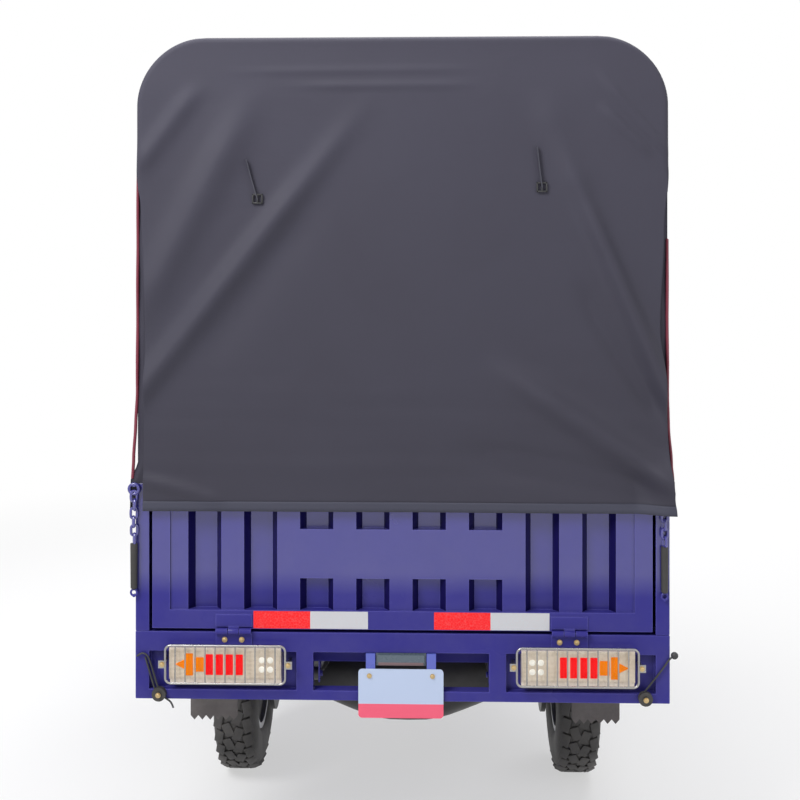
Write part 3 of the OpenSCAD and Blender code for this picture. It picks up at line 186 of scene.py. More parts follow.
# Finishes, all on Object coordinates in metres unless a piece brings its own UV map
blueBase = {"colour": (0.030, 0.026, 0.215), "second": (0.042, 0.038, 0.252), "patch": 2.2, "rough": 0.24,
            "spread": 0.07, "coat": 0.6, "grain": 90, "height": 0.00012, "edge": (0.123, 0.116, 0.450),
            "edgeWidth": 0.004, "dust": 0.10, "filmTop": 0.785}
finishSet = {
    # the blue paint darkens its folds and corners as painted shade
    "bluePaint": {**blueBase, "cavityShade": 0.035},
    # the gate's paint darkens its sideways fold walls as painted shade
    "gatePaint": {**blueBase, "wallShadeColour": (0.006, 0.004, 0.051)},
    "guardWire": {"colour": (0.42, 0.41, 0.40), "second": (0.30, 0.29, 0.29), "patch": 30.0,
                  "rough": 0.30, "spread": 0.08, "metal": 1.0, "grain": 250, "height": 0.00005},
    "liftedBlue": {"colour": (0.080, 0.109, 0.493), "second": (0.094, 0.123, 0.536), "patch": 3.0,
                   "rough": 0.30, "spread": 0.06, "coat": 0.3, "grain": 90, "height": 0.0001, "dust": 0.1},
    "darkPaint": {"colour": (0.014, 0.014, 0.017), "second": (0.026, 0.025, 0.025), "patch": 5.0,
                  "rough": 0.45, "spread": 0.12, "grain": 120, "height": 0.0002,
                  "edge": (0.087, 0.083, 0.078), "edgeWidth": 0.003, "dust": 0.12},
    "chromeWire": {"colour": (0.74, 0.75, 0.77), "second": (0.62, 0.63, 0.66), "patch": 9.0,
                   "rough": 0.16, "spread": 0.06, "metal": 1.0, "grain": 200, "height": 0.00004},
    "exhaustSteel": {"colour": (0.50, 0.48, 0.46), "second": (0.34, 0.28, 0.22), "patch": 4.0,
                     "rough": 0.32, "spread": 0.12, "metal": 1.0, "grain": 150, "height": 0.0001},
    "castAlloy": {"colour": (0.42, 0.43, 0.45), "second": (0.33, 0.33, 0.34), "patch": 8.0,
                  "rough": 0.5, "spread": 0.1, "metal": 0.85, "grain": 420, "height": 0.0003},
    "wheelSilver": {"colour": (0.40, 0.41, 0.43), "second": (0.34, 0.34, 0.35), "patch": 6.0,
                    "rough": 0.38, "spread": 0.08, "metal": 0.6, "grain": 160, "height": 0.0001, "dust": 0.3},
    "wornSteel": {"colour": (0.25, 0.24, 0.23), "second": (0.16, 0.14, 0.12), "patch": 7.0,
                  "rough": 0.5, "spread": 0.15, "metal": 0.8, "grain": 180, "height": 0.0002},
    "brassZinc": {"colour": (0.62, 0.46, 0.22), "second": (0.48, 0.36, 0.2), "patch": 40.0,
                  "rough": 0.34, "spread": 0.1, "metal": 1.0, "grain": 300, "height": 0.0001},
    "blackRubber": {"colour": (0.023, 0.022, 0.022), "second": (0.043, 0.041, 0.039), "patch": 9.0,
                    "rough": 0.62, "spread": 0.1, "grain": 380, "height": 0.00025, "dust": 0.2},
    "flapRubber": {"colour": (0.072, 0.064, 0.064), "second": (0.123, 0.109, 0.106), "patch": 7.0,
                   "rough": 0.7, "spread": 0.1, "grain": 260, "height": 0.0004, "dust": 0.5},
    "blackPlastic": {"colour": (0.023, 0.023, 0.025), "second": (0.035, 0.035, 0.036), "patch": 11.0,
                     "rough": 0.4, "spread": 0.08, "grain": 700, "height": 0.00015},
    "deckSteel": {"colour": (0.049, 0.046, 0.290), "second": (0.087, 0.084, 0.275), "patch": 3.0,
                  "rough": 0.42, "spread": 0.12, "grain": 60, "height": 0.0003, "dust": 0.12},
    "webbing": {"colour": (0.045, 0.044, 0.062), "second": (0.06, 0.06, 0.08), "patch": 20.0,
                "rough": 0.7, "spread": 0.05, "grain": 900, "height": 0.0003},
    "mirrorGlass": {"colour": (0.85, 0.86, 0.87), "second": (0.80, 0.81, 0.82), "patch": 5.0,
                    "rough": 0.05, "spread": 0.02, "metal": 1.0, "grain": 20, "height": 0.00001},
    "seatSkin": {"colour": (0.025, 0.025, 0.028), "second": (0.038, 0.036, 0.039), "patch": 6.0,
                 "rough": 0.44, "spread": 0.08, "grain": 520, "height": 0.0004},
}
# What age does to a finish, and the painted shade on sideways walls and in corners: spans a node reads from,
# and the most it then gives
ageAndShadeSet = {
    "filmBlend": 0.03, "filmGloss": (0.14, 0.8),
    "dustSpan": (0.1, 1.0), "dustLeast": 0.02, "dustSpots": (0.4, 0.7), "dustColour": (0.31, 0.285, 0.27),
    "wearSpan": (0.985, 0.86), "wearMost": 0.75,
    # painted shade on sideways walls: span, most darkening and least shine
    "wallSpan": (0.45, 0.75), "wallMost": 0.92, "wallShine": 0.1,
    # painted shade in folds and corners: span, most darkening and its colour
    "cavitySpan": (0.30, 0.62), "cavityMost": 0.5, "cavityColour": (0.009, 0.007, 0.072),
}
noiseSpan = (0.3, 0.7)


def makeFinish(name, s, ageAndShade):
    coat = s.get("coat", 0)
    made, t, shader = newMaterial(name, {"Metallic": s.get("metal", 0), "Coat Weight": coat,
                                         "Coat Roughness": 0.12})
    place = (t.add("TexCoord"), "Object")
    height = (t.add("SeparateXYZ", {0: place}), 2)
    patch = t.add("TexNoise", {"Vector": place, "Scale": s["patch"], "Detail": 5, "Roughness": 0.6})
    colour = t.mixed(patch, s["colour"], s["second"])
    rough = t.ranged(patch, *noiseSpan, s["rough"] - s["spread"], s["rough"] + s["spread"])
    if "filmTop" in s:
        # a dull road film up to a certain height
        film, blend = s["filmTop"], ageAndShade["filmBlend"]
        gloss = t.ranged(height, film - blend, film + blend, *ageAndShade["filmGloss"])
        t.feed(shader, {"Specular IOR Level": gloss,
                        "Coat Weight": t.ranged(gloss, *ageAndShade["filmGloss"], 0.0, coat)})
    if "dust" in s:
        # road dust, thicker towards the ground
        low = t.ranged(height, *ageAndShade["dustSpan"], s["dust"], ageAndShade["dustLeast"])
        cloud = t.add("TexNoise", {"Vector": place, "Scale": 6, "Detail": 8, "Roughness": 0.7})
        amount = t.maths("MULTIPLY", low, t.ranged(cloud, *ageAndShade["dustSpots"], 0.0, 1.0))
        colour = t.mixed(amount, colour, ageAndShade["dustColour"])
    if "edge" in s:
        # rubbed edges, where a rounded normal leaves the flat one
        soft = t.add("Bevel", {"Radius": s["edgeWidth"]}, samples=3)
        dot = t.add("VectorMath", {0: soft, 1: (t.add("NewGeometry"), "Normal")}, operation="DOT_PRODUCT")
        wear = t.ranged((dot, "Value"), *ageAndShade["wearSpan"], 0.0, ageAndShade["wearMost"])
        colour = t.mixed(wear, colour, s["edge"])
    if "wallShadeColour" in s:
        # painted shade: fold walls that face sideways lie in shade, so their colour is darkened and their
        # shine lessened
        parts = t.add("SeparateXYZ", {0: (t.add("NewGeometry"), "True Normal")})
        wall = t.ranged(t.maths("ABSOLUTE", parts), *ageAndShade["wallSpan"], 0.0, ageAndShade["wallMost"])
        colour = t.mixed(wall, colour, s["wallShadeColour"])
        for entry, most in (("Specular IOR Level", 1.0), ("Coat Weight", coat)):
            less = t.ranged(wall, 0.0, ageAndShade["wallMost"], most, ageAndShade["wallShine"])
            t.feed(shader, {entry: t.maths("MULTIPLY", less, gloss)})
    if "cavityShade" in s:
        # painted shade: darker in folds and corners, where ambient occlusion finds other surfaces close
        close = t.add("AmbientOcclusion", {"Distance": s["cavityShade"]}, samples=6)
        cavityShadeAmount = t.ranged((close, "AO"), *ageAndShade["cavitySpan"], ageAndShade["cavityMost"], 0.0)
        colour = t.mixed(cavityShadeAmount, colour, ageAndShade["cavityColour"])
    grain = t.add("TexNoise", {"Vector": place, "Scale": s["grain"], "Detail": 3})
    bump = t.add("Bump", {"Height": grain, "Strength": 1.0, "Distance": s["height"]})
    t.feed(shader, {"Base Color": colour, "Roughness": rough, "Normal": bump})
    return made


# Canvas: woven, coated cloth in greys, on its own UV map in metres
canvasSet = {
    "shine": 0.3, "rough": (0.56, 0.70), "patch": 2.6, "threads": 620.0, "weave": 0.00018, "creaseScale": 5.0,
    # painted shade: the canvas darkens towards the hem by a share over a span of heights
    "crease": 0.004, "creaseShare": 0.55, "weaveShare": 0.6, "hemShade": 0.74, "hemShadeFrom": (0.95, 2.15),
    "canvas": ((0.045, 0.042, 0.062), (0.063, 0.061, 0.088)),
    "hemCanvas": ((0.067, 0.068, 0.102), (0.081, 0.083, 0.119)),
}


def makeCanvas(name, s):
    made, t, shader = newMaterial(name, {"Specular IOR Level": s["shine"]})
    place = t.add("UVMap")
    patch = t.add("TexNoise", {"Vector": place, "Scale": s["patch"], "Detail": 6, "Roughness": 0.6})
    # painted shade: a little darker towards the hem, lighter towards the top
    level = t.add("SeparateXYZ", {0: (t.add("TexCoord"), "Object")})
    hemShaded = t.mixed(patch, *[[v * s["hemShade"] for v in tint] for tint in s[name]])
    colour = t.mixed(t.ranged((level, 2), *s["hemShadeFrom"], 0, 1), hemShaded, t.mixed(patch, *s[name]))
    rough = t.ranged(patch, *noiseSpan, *s["rough"])
    crease = t.add("TexNoise", {"Vector": place, "Scale": s["creaseScale"], "Detail": 3, "Distortion": 0.8})
    wide = t.add("Bump", {"Height": crease, "Strength": s["creaseShare"], "Distance": s["crease"]})
    # warp and weft
    waves = [t.add("TexWave", {"Vector": place, "Scale": s["threads"] / math.tau}, bands_direction=way)
             for way in "XY"]
    woven = t.maths("MAXIMUM", *[(wave, 1) for wave in waves])
    fine = t.add("Bump", {"Height": woven, "Strength": s["weaveShare"], "Distance": s["weave"],
                          "Normal": wide})
    t.feed(shader, {"Base Color": colour, "Roughness": rough, "Normal": fine})
    return made


# Plain finishes for lamps, piping and cords
glossSet = {
    "lampRed": {"colour": (0.95, 0.004, 0.008), "rough": 0.3, "glow": 0.28, "shine": 0.08},
    "lampAmber": {"colour": (0.92, 0.225, 0.001), "rough": 0.3, "glow": 0.2, "shine": 0.08},
    "lampWhite": {"colour": (0.95, 0.94, 0.91), "rough": 0.15, "glow": 0.2},
    "plateLens": {"colour": (0.087, 0.119, 0.152), "rough": 0.25},
    "plateShade": {"colour": (0.16, 0.10, 0.11), "rough": 0.4},
    "redPiping": {"colour": (0.19, 0.020, 0.043), "rough": 0.55},
    "blackCord": {"colour": (0.026, 0.027, 0.030), "rough": 0.6},
}


def makeGloss(name, s):
    colour = (*s["colour"], 1)
    made, t, shader = newMaterial(name, {
        "Base Color": colour, "Emission Color": colour, "Emission Strength": s.get("glow", 0),
        "Specular IOR Level": s.get("shine", 0.5), "Coat Weight": 0 if "shine" in s else 0.2})
    cloud = t.add("TexNoise", {"Vector": (t.add("TexCoord"), "Object"), "Scale": 30, "Detail": 4})
    t.feed(shader, {"Roughness": t.ranged(cloud, *noiseSpan, s["rough"] - 0.05, s["rough"] + 0.08)})
    return made


# Pale lamp body with small optical squares
reflectorSet = {"colour": (0.61, 0.50, 0.40), "second": (0.91, 0.83, 0.74), "rough": 0.3, "metal": 0.25,
                "square": 0.0115, "height": 0.0009}


def ripples(t, place, axis, length):
    split = t.add("SeparateXYZ", {0: place})
    return t.maths("SINE", t.maths("MULTIPLY", (split, axis), math.tau / length))


def makeReflector(name, s):
    made, t, shader = newMaterial(name, {"Roughness": s["rough"], "Metallic": s["metal"]})
    place = (t.add("TexCoord"), "Object")
    cloud = t.add("TexNoise", {"Vector": place, "Scale": 26, "Detail": 3})
    facets = t.maths("ADD", *[ripples(t, place, axis, s["square"]) for axis in (0, 2)])
    bump = t.add("Bump", {"Height": facets, "Strength": 0.35, "Distance": s["height"]})
    t.feed(shader, {"Base Color": t.mixed(cloud, s["colour"], s["second"]), "Normal": bump})
    return made


# Clear plastic that lets light through to what lies behind it: colour and width of a rib
clearSet = {"clearLens": ((0.97, 0.96, 0.93), 0.024), "clearGlass": ((0.97, 0.98, 0.98), 0.020)}


def makeClear(name, colour, ribs):
    colour = (*colour, 1)
    made, t, shader = newMaterial(name, {"Base Color": colour, "Transmission Weight": 1, "Roughness": 0.06,
                                         "IOR": 1.16})
    wave = ripples(t, (t.add("TexCoord"), "Object"), 0, ribs)
    t.feed(shader, {"Normal": t.add("Bump", {"Height": wave, "Strength": 0.5, "Distance": 0.0006})})
    path = t.add("LightPath")
    through = t.maths("MAXIMUM", (path, "Is Shadow Ray"), (path, "Is Diffuse Ray"))
    clear = t.add("BsdfTransparent", {"Color": colour})
    t.feed(t.out, {"Surface": t.add("MixShader", {"Fac": through, 1: shader, 2: clear})})
    return made


# Colours in bands along one object axis: (from, to, colour) in metres
bandSet = {
    "tape": {"axis": 0, "base": (0.58, 0.595, 0.625), "rough": 0.36, "cells": 160,
             "bands": [(-1, -0.2365, (0.95, 0.008, 0.012)), (0, 0.2325, (0.95, 0.008, 0.012))]},
    "plate": {"axis": 2, "base": (0.50, 0.587, 0.776), "rough": 0.36,
              "bands": [(0, 0.4765, (0.87, 0.123, 0.203))]},
    "indicator": {"axis": 0, "base": (0.95, 0.25, 0.004), "rough": 0.3,
                  "bands": [(-0.159, 0.159, (0.017, 0.017, 0.019))]},
}


def makeBanded(name, s):
    made, t, shader = newMaterial(name, {"Roughness": s["rough"], "Specular IOR Level": 0.25})
    place = (t.add("TexCoord"), "Object")
    level = (t.add("SeparateXYZ", {0: place}), s["axis"])
    colour = s["base"]
    for low, high, tint in s["bands"]:
        inside = t.maths("MULTIPLY", t.maths("GREATER_THAN", level, low), t.maths("LESS_THAN", level, high))
        colour = t.mixed(inside, colour, tint)
    if "cells" in s:
        # fine honeycomb of the reflective sheet
        comb = t.add("TexVoronoi", {"Vector": place, "Scale": s["cells"]}, feature="DISTANCE_TO_EDGE")
        colour = t.mixed(t.ranged((comb, "Distance"), 0.0, 0.12, 0.16, 0.0), colour, (0.65, 0.43, 0.43))
    t.feed(shader, {"Base Color": colour})
    return made


finishes = {name: makeFinish(name, s, ageAndShadeSet) for name, s in finishSet.items()}
finishes |= {name: makeCanvas(name, canvasSet) for name in ("canvas", "hemCanvas")}
finishes |= {name: makeGloss(name, s) for name, s in glossSet.items()}
finishes |= {name: makeClear(name, *s) for name, s in clearSet.items()}
finishes |= {name: makeBanded(name, s) for name, s in bandSet.items()}
finishes["lampBody"] = makeReflector("lampBody", reflectorSet)
print("finishes made:", len(finishes))

# Which finish each CAD node keeps
nodeFinish = {
    "bluePaint": ["chassis_rails", "chassis_crossmembers", "deck_bearers", "front_frame", "rear_light_bar",
                  "side_board_left", "side_board_right", "headboard", "canopy_bows", "gate_chains",
                  "spring_hangers", "fuel_tank", "seat_base", "footboards", "front_mudguard",
                  "tailgate_hinges"],
    "liftedBlue": ["plate_bracket"],
    "darkPaint": ["rear_axle", "leaf_spring_left", "leaf_spring_right", "fork", "headlamp"],
    "gatePaint": ["tailgate"],
    "guardWire": ["lamp_guard_left", "lamp_guard_right"],
    "chromeWire": ["handlebar"],
    "exhaustSteel": ["exhaust"],
    "castAlloy": ["engine"],
    "wheelSilver": ["front_rim", "rear_rim_left", "rear_rim_right"],
    "wornSteel": ["drive_shaft"],
    "blackRubber": ["tie_buffers", "fork_gaiters", "handlebar_grips", "front_tyre", "rear_tyre_left",
                    "rear_tyre_right"],
    "flapRubber": ["mudflaps"],
    "blackPlastic": ["mirrors", "speedometer", "rider_seat", "seat_backrest"],
    "deckSteel": ["load_deck"],
    "lampBody": ["tail_lamp_left", "tail_lamp_right"],
    "tape": ["reflective_tapes"],
    "plate": ["number_plate"],
    "plateLens": ["plate_lamp"],
    "clearGlass": ["headlamp_lens"],
    "indicator": ["front_indicators"],
}
# Eased edges of the sheet-metal nodes: width in metres, angle in degrees
edgeSet = {
    "nodes": ["tailgate", "rear_light_bar", "side_board_left", "side_board_right", "headboard"],
    "weld": 0.00002, "width": 0.0022, "angle": 38, "segments": 2,
}


def dressNodes():
    for finish, names in nodeFinish.items():
        for name in names:
            nodes[name].data.materials.clear()
            nodes[name].data.materials.append(finishes[finish])


def easeEdges(s):
    for name in s["nodes"]:
        weld = nodes[name].modifiers.new("weld", "WELD")
        weld.merge_threshold = s["weld"]
        bevel = nodes[name].modifiers.new("easedEdges", "BEVEL")
        bevel.width = s["width"]
        bevel.segments = s["segments"]
        bevel.limit_method = "ANGLE"
        bevel.angle_limit = math.radians(s["angle"])
        bevel.harden_normals = True


dressNodes()
easeEdges(edgeSet)
print("CAD nodes dressed")


# Small builders shared by the pieces
def turned(degrees, axis):
    return Matrix.Rotation(math.radians(degrees), 4, axis)


def newPiece(name, bm, finish, body, replaced=(), sharp=38):
    bmesh.ops.recalc_face_normals(bm, faces=bm.faces)
    mesh = bpy.data.meshes.new(name)
    bm.to_mesh(mesh)
    bm.free()
    mesh.shade_smooth()
    mesh.set_sharp_from_angle(angle=math.radians(sharp))
    mesh.materials.append(finishes[finish])
    piece = bpy.data.objects.new(name, mesh)
    scene.collection.objects.link(piece)
    if body:
        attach(piece, body)
    if replaced:
        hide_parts(*replaced)
    return piece


def edgesOf(made):
    # each edge of new vertices once, in a fixed order
    return list(dict.fromkeys(e for v in made["verts"] for e in v.link_edges))


def addBox(bm, low, high, bevel=0.0, segments=2, place=None):
    low, high = Vector(low), Vector(high)
    matrix = (place or Matrix()) @ moved((low + high) / 2) @ Matrix.Diagonal((*(high - low), 1))
    made = bmesh.ops.create_cube(bm, size=1, matrix=matrix)
    if bevel:
        bmesh.ops.bevel(bm, geom=edgesOf(made), offset=bevel, segments=segments, affect="EDGES",
                        profile=0.5, material=-1)


def addRod(bm, start, end, radius, endRadius=None, sides=20):
    start, end = Vector(start), Vector(end)
    run = end - start
    place = moved((start + end) / 2) @ run.to_track_quat("Z", "Y").to_matrix().to_4x4()
    bmesh.ops.create_cone(bm, cap_ends=True, segments=sides, radius1=radius, depth=run.length,
                          radius2=radius if endRadius is None else endRadius, matrix=place)


def addBall(bm, place, radius, around, rings, flat=1.0):
    # flat squeezes the ball along y
    bmesh.ops.create_uvsphere(bm, u_segments=around, v_segments=rings, radius=radius,
                              matrix=moved(place) @ Matrix.Diagonal((1, flat, 1, 1)))


def addRing(bm, place, major, minor, stretch=1.0, steps=28, sides=10):
    # ring about the z axis of place, longer along its x axis by stretch
    before = set(bm.verts)
    made = bmesh.ops.create_circle(bm, radius=minor, segments=sides,
                                   matrix=moved((major, 0, 0)) @ turned(90, "X"))
    bmesh.ops.spin(bm, geom=made["verts"] + edgesOf(made), cent=(0, 0, 0), axis=(0, 0, 1),
                   angle=math.tau, steps=steps, use_merge=True)
    new = [v for v in bm.verts if v not in before]
    for v in new:
        v.co.x += math.copysign(major * (stretch - 1), v.co.x) if abs(v.co.x) > major * 0.05 else 0
    bmesh.ops.transform(bm, matrix=place, verts=new)


def addBolt(bm, place, direction, size):
    # washer, six-sided head and a rounded crown
    place, step = Vector(place), Vector(direction).normalized() * size
    addRod(bm, place, place + step * 0.22, size * 1.25)
    addRod(bm, place, place + step * 0.75, size, sides=6)
    addRod(bm, place + step * 0.75, place + step * 0.95, size * 0.85, size * 0.5, sides=12)


def addCord(bm, points, radius):
    # round cord through the points: rods with a ball at each bend
    for a, b in zip(points, points[1:]):
        addRod(bm, a, b, radius, sides=10)
    for p in points:
        addBall(bm, p, radius, 10, 8)


def smoothStep(low, high, value):
    t = min(max((value - low) / (high - low), 0), 1)
    return t * t * (3 - 2 * t)


def alongTable(rows, value):
    # value read off rows of (key, value), keys falling, eased between rows
    if value >= rows[0][0]:
        return rows[0][1]
    for (highKey, high), (lowKey, low) in zip(rows, rows[1:]):
        if value >= lowKey:
            return low + (high - low) * smoothStep(lowKey, highKey, value)
    return rows[-1][1]


def pathLengths(points):
    sums = [0.0]
    for a, b in zip(points, points[1:]):
        sums.append(sums[-1] + (b - a).length)
    return sums


def newCloth(name, bm, finish, body, thickness, offset, place=None, replaced=()):
    # place gives a vertex's (u, v) in metres, else it is seen from behind; returns piece and area
    layer = bm.loops.layers.uv.new("cloth")
    for face in bm.faces:
        for loop in face.loops:
            loop[layer].uv = place(loop.vert) if place else loop.vert.co.xz
    area = sum(f.calc_area() for f in bm.faces)
    piece = newPiece(name, bm, finish, body, replaced, sharp=75)
    shell = piece.modifiers.new("clothThickness", "SOLIDIFY")
    shell.thickness = thickness
    shell.offset = offset
    return piece, area


# Canopy lines, from the frame: half width, top, hem, corner radius and the faces at both ends
canopySet = {
    "half": curtainHigh.x + 0.002, "top": coverHigh.z, "hem": coverLow.z, "corner": 0.180,
    "flare": coverHigh.x - curtainHigh.x - 0.002, "flareTop": boardTop + 0.055, "lap": boardTop + 0.008,
    "rear": rearFace, "front": coverHigh.y, "thickness": 0.0028, "rows": 120,
    # points on the flare, the side, the corner and the top
    "steps": (8, 12, 14, 20),
    # slack between the bows and the stringers
    "bows": 5, "bowInset": 0.0325, "sag": 0.010, "sagRise": 0.2, "stringers": (-0.335, 0, 0.335),
    "stringerZ": 1.605, "stringerReach": 0.07, "hemWave": 0.005, "hemOut": 0.002, "hemBeats": (17, 5),
    # noise along, across and up, and the sag that it leaves and adds
    "wrinkle": (3.1, 2.3, 5.0), "wrinkleShare": (0.6, 0.8),
    "lip": 0.045, "lipThickness": 0.002, "lipFrom": 0.45, "lipOff": 0.0005, "lipLean": 0.002,
    # front wall: inset at hem and top, and how far from both it is still tight
    "wallGrid": (40, 44), "wallInset": (0.002, 0.001), "wallTight": (0.4, 0.3), "billow": 0.006,
    "billowNoise": 3,
}


def canopyPath(c):
    # points (x, z) round the canopy from the right hem over the top to the left hem
    w, t, r = c["half"], c["top"], c["corner"]
    flare, rise, bend, across = c["steps"]
    side = [(w + c["flare"] * (1 - smoothStep(c["lap"], c["flareTop"], z)), z)
            for z in (c["hem"] + (c["flareTop"] - c["hem"]) * k / flare for k in range(flare))]
    side += [(w, c["flareTop"] + (t - r - c["flareTop"]) * k / rise) for k in range(rise)]
    side += [(w - r + r * math.cos(a), t - r + r * math.sin(a))
             for a in (math.pi / 2 * k / bend for k in range(bend + 1))]
    top = [((w - r) * (1 - 2 * k / across), t) for k in range(1, across)]
    return [Vector(p) for p in side + top + [(-x, z) for x, z in reversed(side)]]


def makeCover(c):
    points = canopyPath(c)
    lengths = pathLengths(points)
    last = len(points) - 1
    bm = bmesh.new()
    bmesh.ops.create_grid(bm, x_segments=last, y_segments=c["rows"], size=0.5)
    uvOf = {}
    along, across, up = c["wrinkle"]
    least, most = c["wrinkleShare"]
    quick, slow = c["hemBeats"]
    gap = (c["front"] - c["rear"] - 2 * c["bowInset"]) / (c["bows"] - 1)
    for v in bm.verts:
        column = round((v.co.x + 0.5) * last)
        here = points[column]
        ahead = points[min(column + 1, last)] - points[max(column - 1, 0)]
        out = Vector((ahead.y, -ahead.x)).normalized()
        y = c["rear"] + (v.co.y + 0.5) * (c["front"] - c["rear"])
        # slack between the bows, none over them, and a few long wrinkles
        phase = (y - c["rear"] - c["bowInset"]) / gap
        slack = math.sin(math.pi * phase) ** 2 if 0 < phase < c["bows"] - 1 else 0
        slack *= smoothStep(c["hem"], c["flareTop"] + c["sagRise"], here.y)
        # nor over the stringers along the top and sides
        if here.y > c["top"] - 0.01:
            near = min(abs(here.x - at) for at in c["stringers"])
        else:
            near = abs(here.y - c["stringerZ"])
        slack *= 1 - math.exp(-(near / c["stringerReach"]) ** 2)
        ripple = noise.noise(Vector((y * along, here.x * across, here.y * up))) * 0.5 + 0.5
        inward = slack * c["sag"] * (least + most * ripple)
        if here.y < c["flareTop"]:
            # loose hem that waves in and out over the boards
            loose = (c["flareTop"] - here.y) / (c["flareTop"] - c["hem"])
            inward -= loose * (c["hemWave"] * math.sin(y * quick + 2 * math.sin(y * slow)) - c["hemOut"])
        spot = here - out * inward
        v.co = (spot.x, y, spot.y)
        uvOf[v] = (lengths[column], y)
    sewn = newCloth("canopyCover", bm, "canvas", "chassis", c["thickness"], -1, uvOf.get, ["canopy_cover"])[0]
    return sewn, (lengths[-1], c["front"] - c["rear"])


def makeRearLip(c):
    # the cover's rear hem, turned in behind the curtain
    points = canopyPath(c)
    bm = bmesh.new()
    bmesh.ops.create_grid(bm, x_segments=len(points) - 1, y_segments=3, size=0.5)
    for v in bm.verts:
        here, inward = points[round((v.co.x + 0.5) * (len(points) - 1))], v.co.y + 0.5
        inner = Vector((here.x - math.copysign(c["lip"], here.x) if abs(here.x) > c["lipFrom"] else here.x,
                        here.y - c["lip"] * smoothStep(c["top"] - c["corner"], c["top"], here.y)))
        spot = here.lerp(inner, inward)
        v.co = (spot.x, c["rear"] - c["lipOff"] + c["lipLean"] * inward, spot.y)
    return newCloth("coverRearLip", bm, "canvas", "chassis", c["lipThickness"], 1)[0]


def cornerHalf(c, z):
    # half width of the canopy's end at a height
    low = c["top"] - c["corner"]
    if z <= low:
        return c["half"]
    rise = min(z - low, c["corner"])
    return c["half"] - c["corner"] + math.sqrt(c["corner"] ** 2 - rise ** 2)


def endGrid(bm, columns, rows, leftOf, rightOf, low, high, even=0.35):
    # grid over the canopy's end: v.co becomes (x, 0, z), closer together near the edges;
    # even is the share of the spacing that stays even
    for v in bmesh.ops.create_grid(bm, x_segments=columns, y_segments=rows, size=0.5)["verts"]:
        up = v.co.y + 0.5
        z = low + (high - low) * (even * up + (1 - even) * math.sin(up * math.pi / 2))
        across = 0.5 + even * v.co.x + (1 - even) / 2 * math.sin(v.co.x * math.pi)
        v.co = (-leftOf(z) + (rightOf(z) + leftOf(z)) * across, 0, z)


def makeFrontWall(c):
    bm = bmesh.new()
    low, high = c["hem"] + c["wallInset"][0], c["top"] - c["wallInset"][1]
    half = lambda z: cornerHalf(c, z)
    endGrid(bm, *c["wallGrid"], half, half, low, high)
    tightLow, tightHigh = c["hem"] + c["wallTight"][0], c["top"] - c["wallTight"][1]
    for v in bm.verts:
        billow = math.cos(v.co.x / c["half"] * math.pi / 2) * smoothStep(c["hem"], tightLow, v.co.z)
        billow *= smoothStep(c["top"], tightHigh, v.co.z)
        v.co.y = c["front"] - c["billow"] * billow * (1 + noise.noise(v.co * c["billowNoise"]))
    wall, area = newCloth("canopyFrontWall", bm, "canvas", "chassis", c["thickness"], 0)


cover, coverFlat = makeCover(canopySet)
coverLip = makeRearLip(canopySet)
makeFrontWall(canopySet)
print("canopy cover sewn")

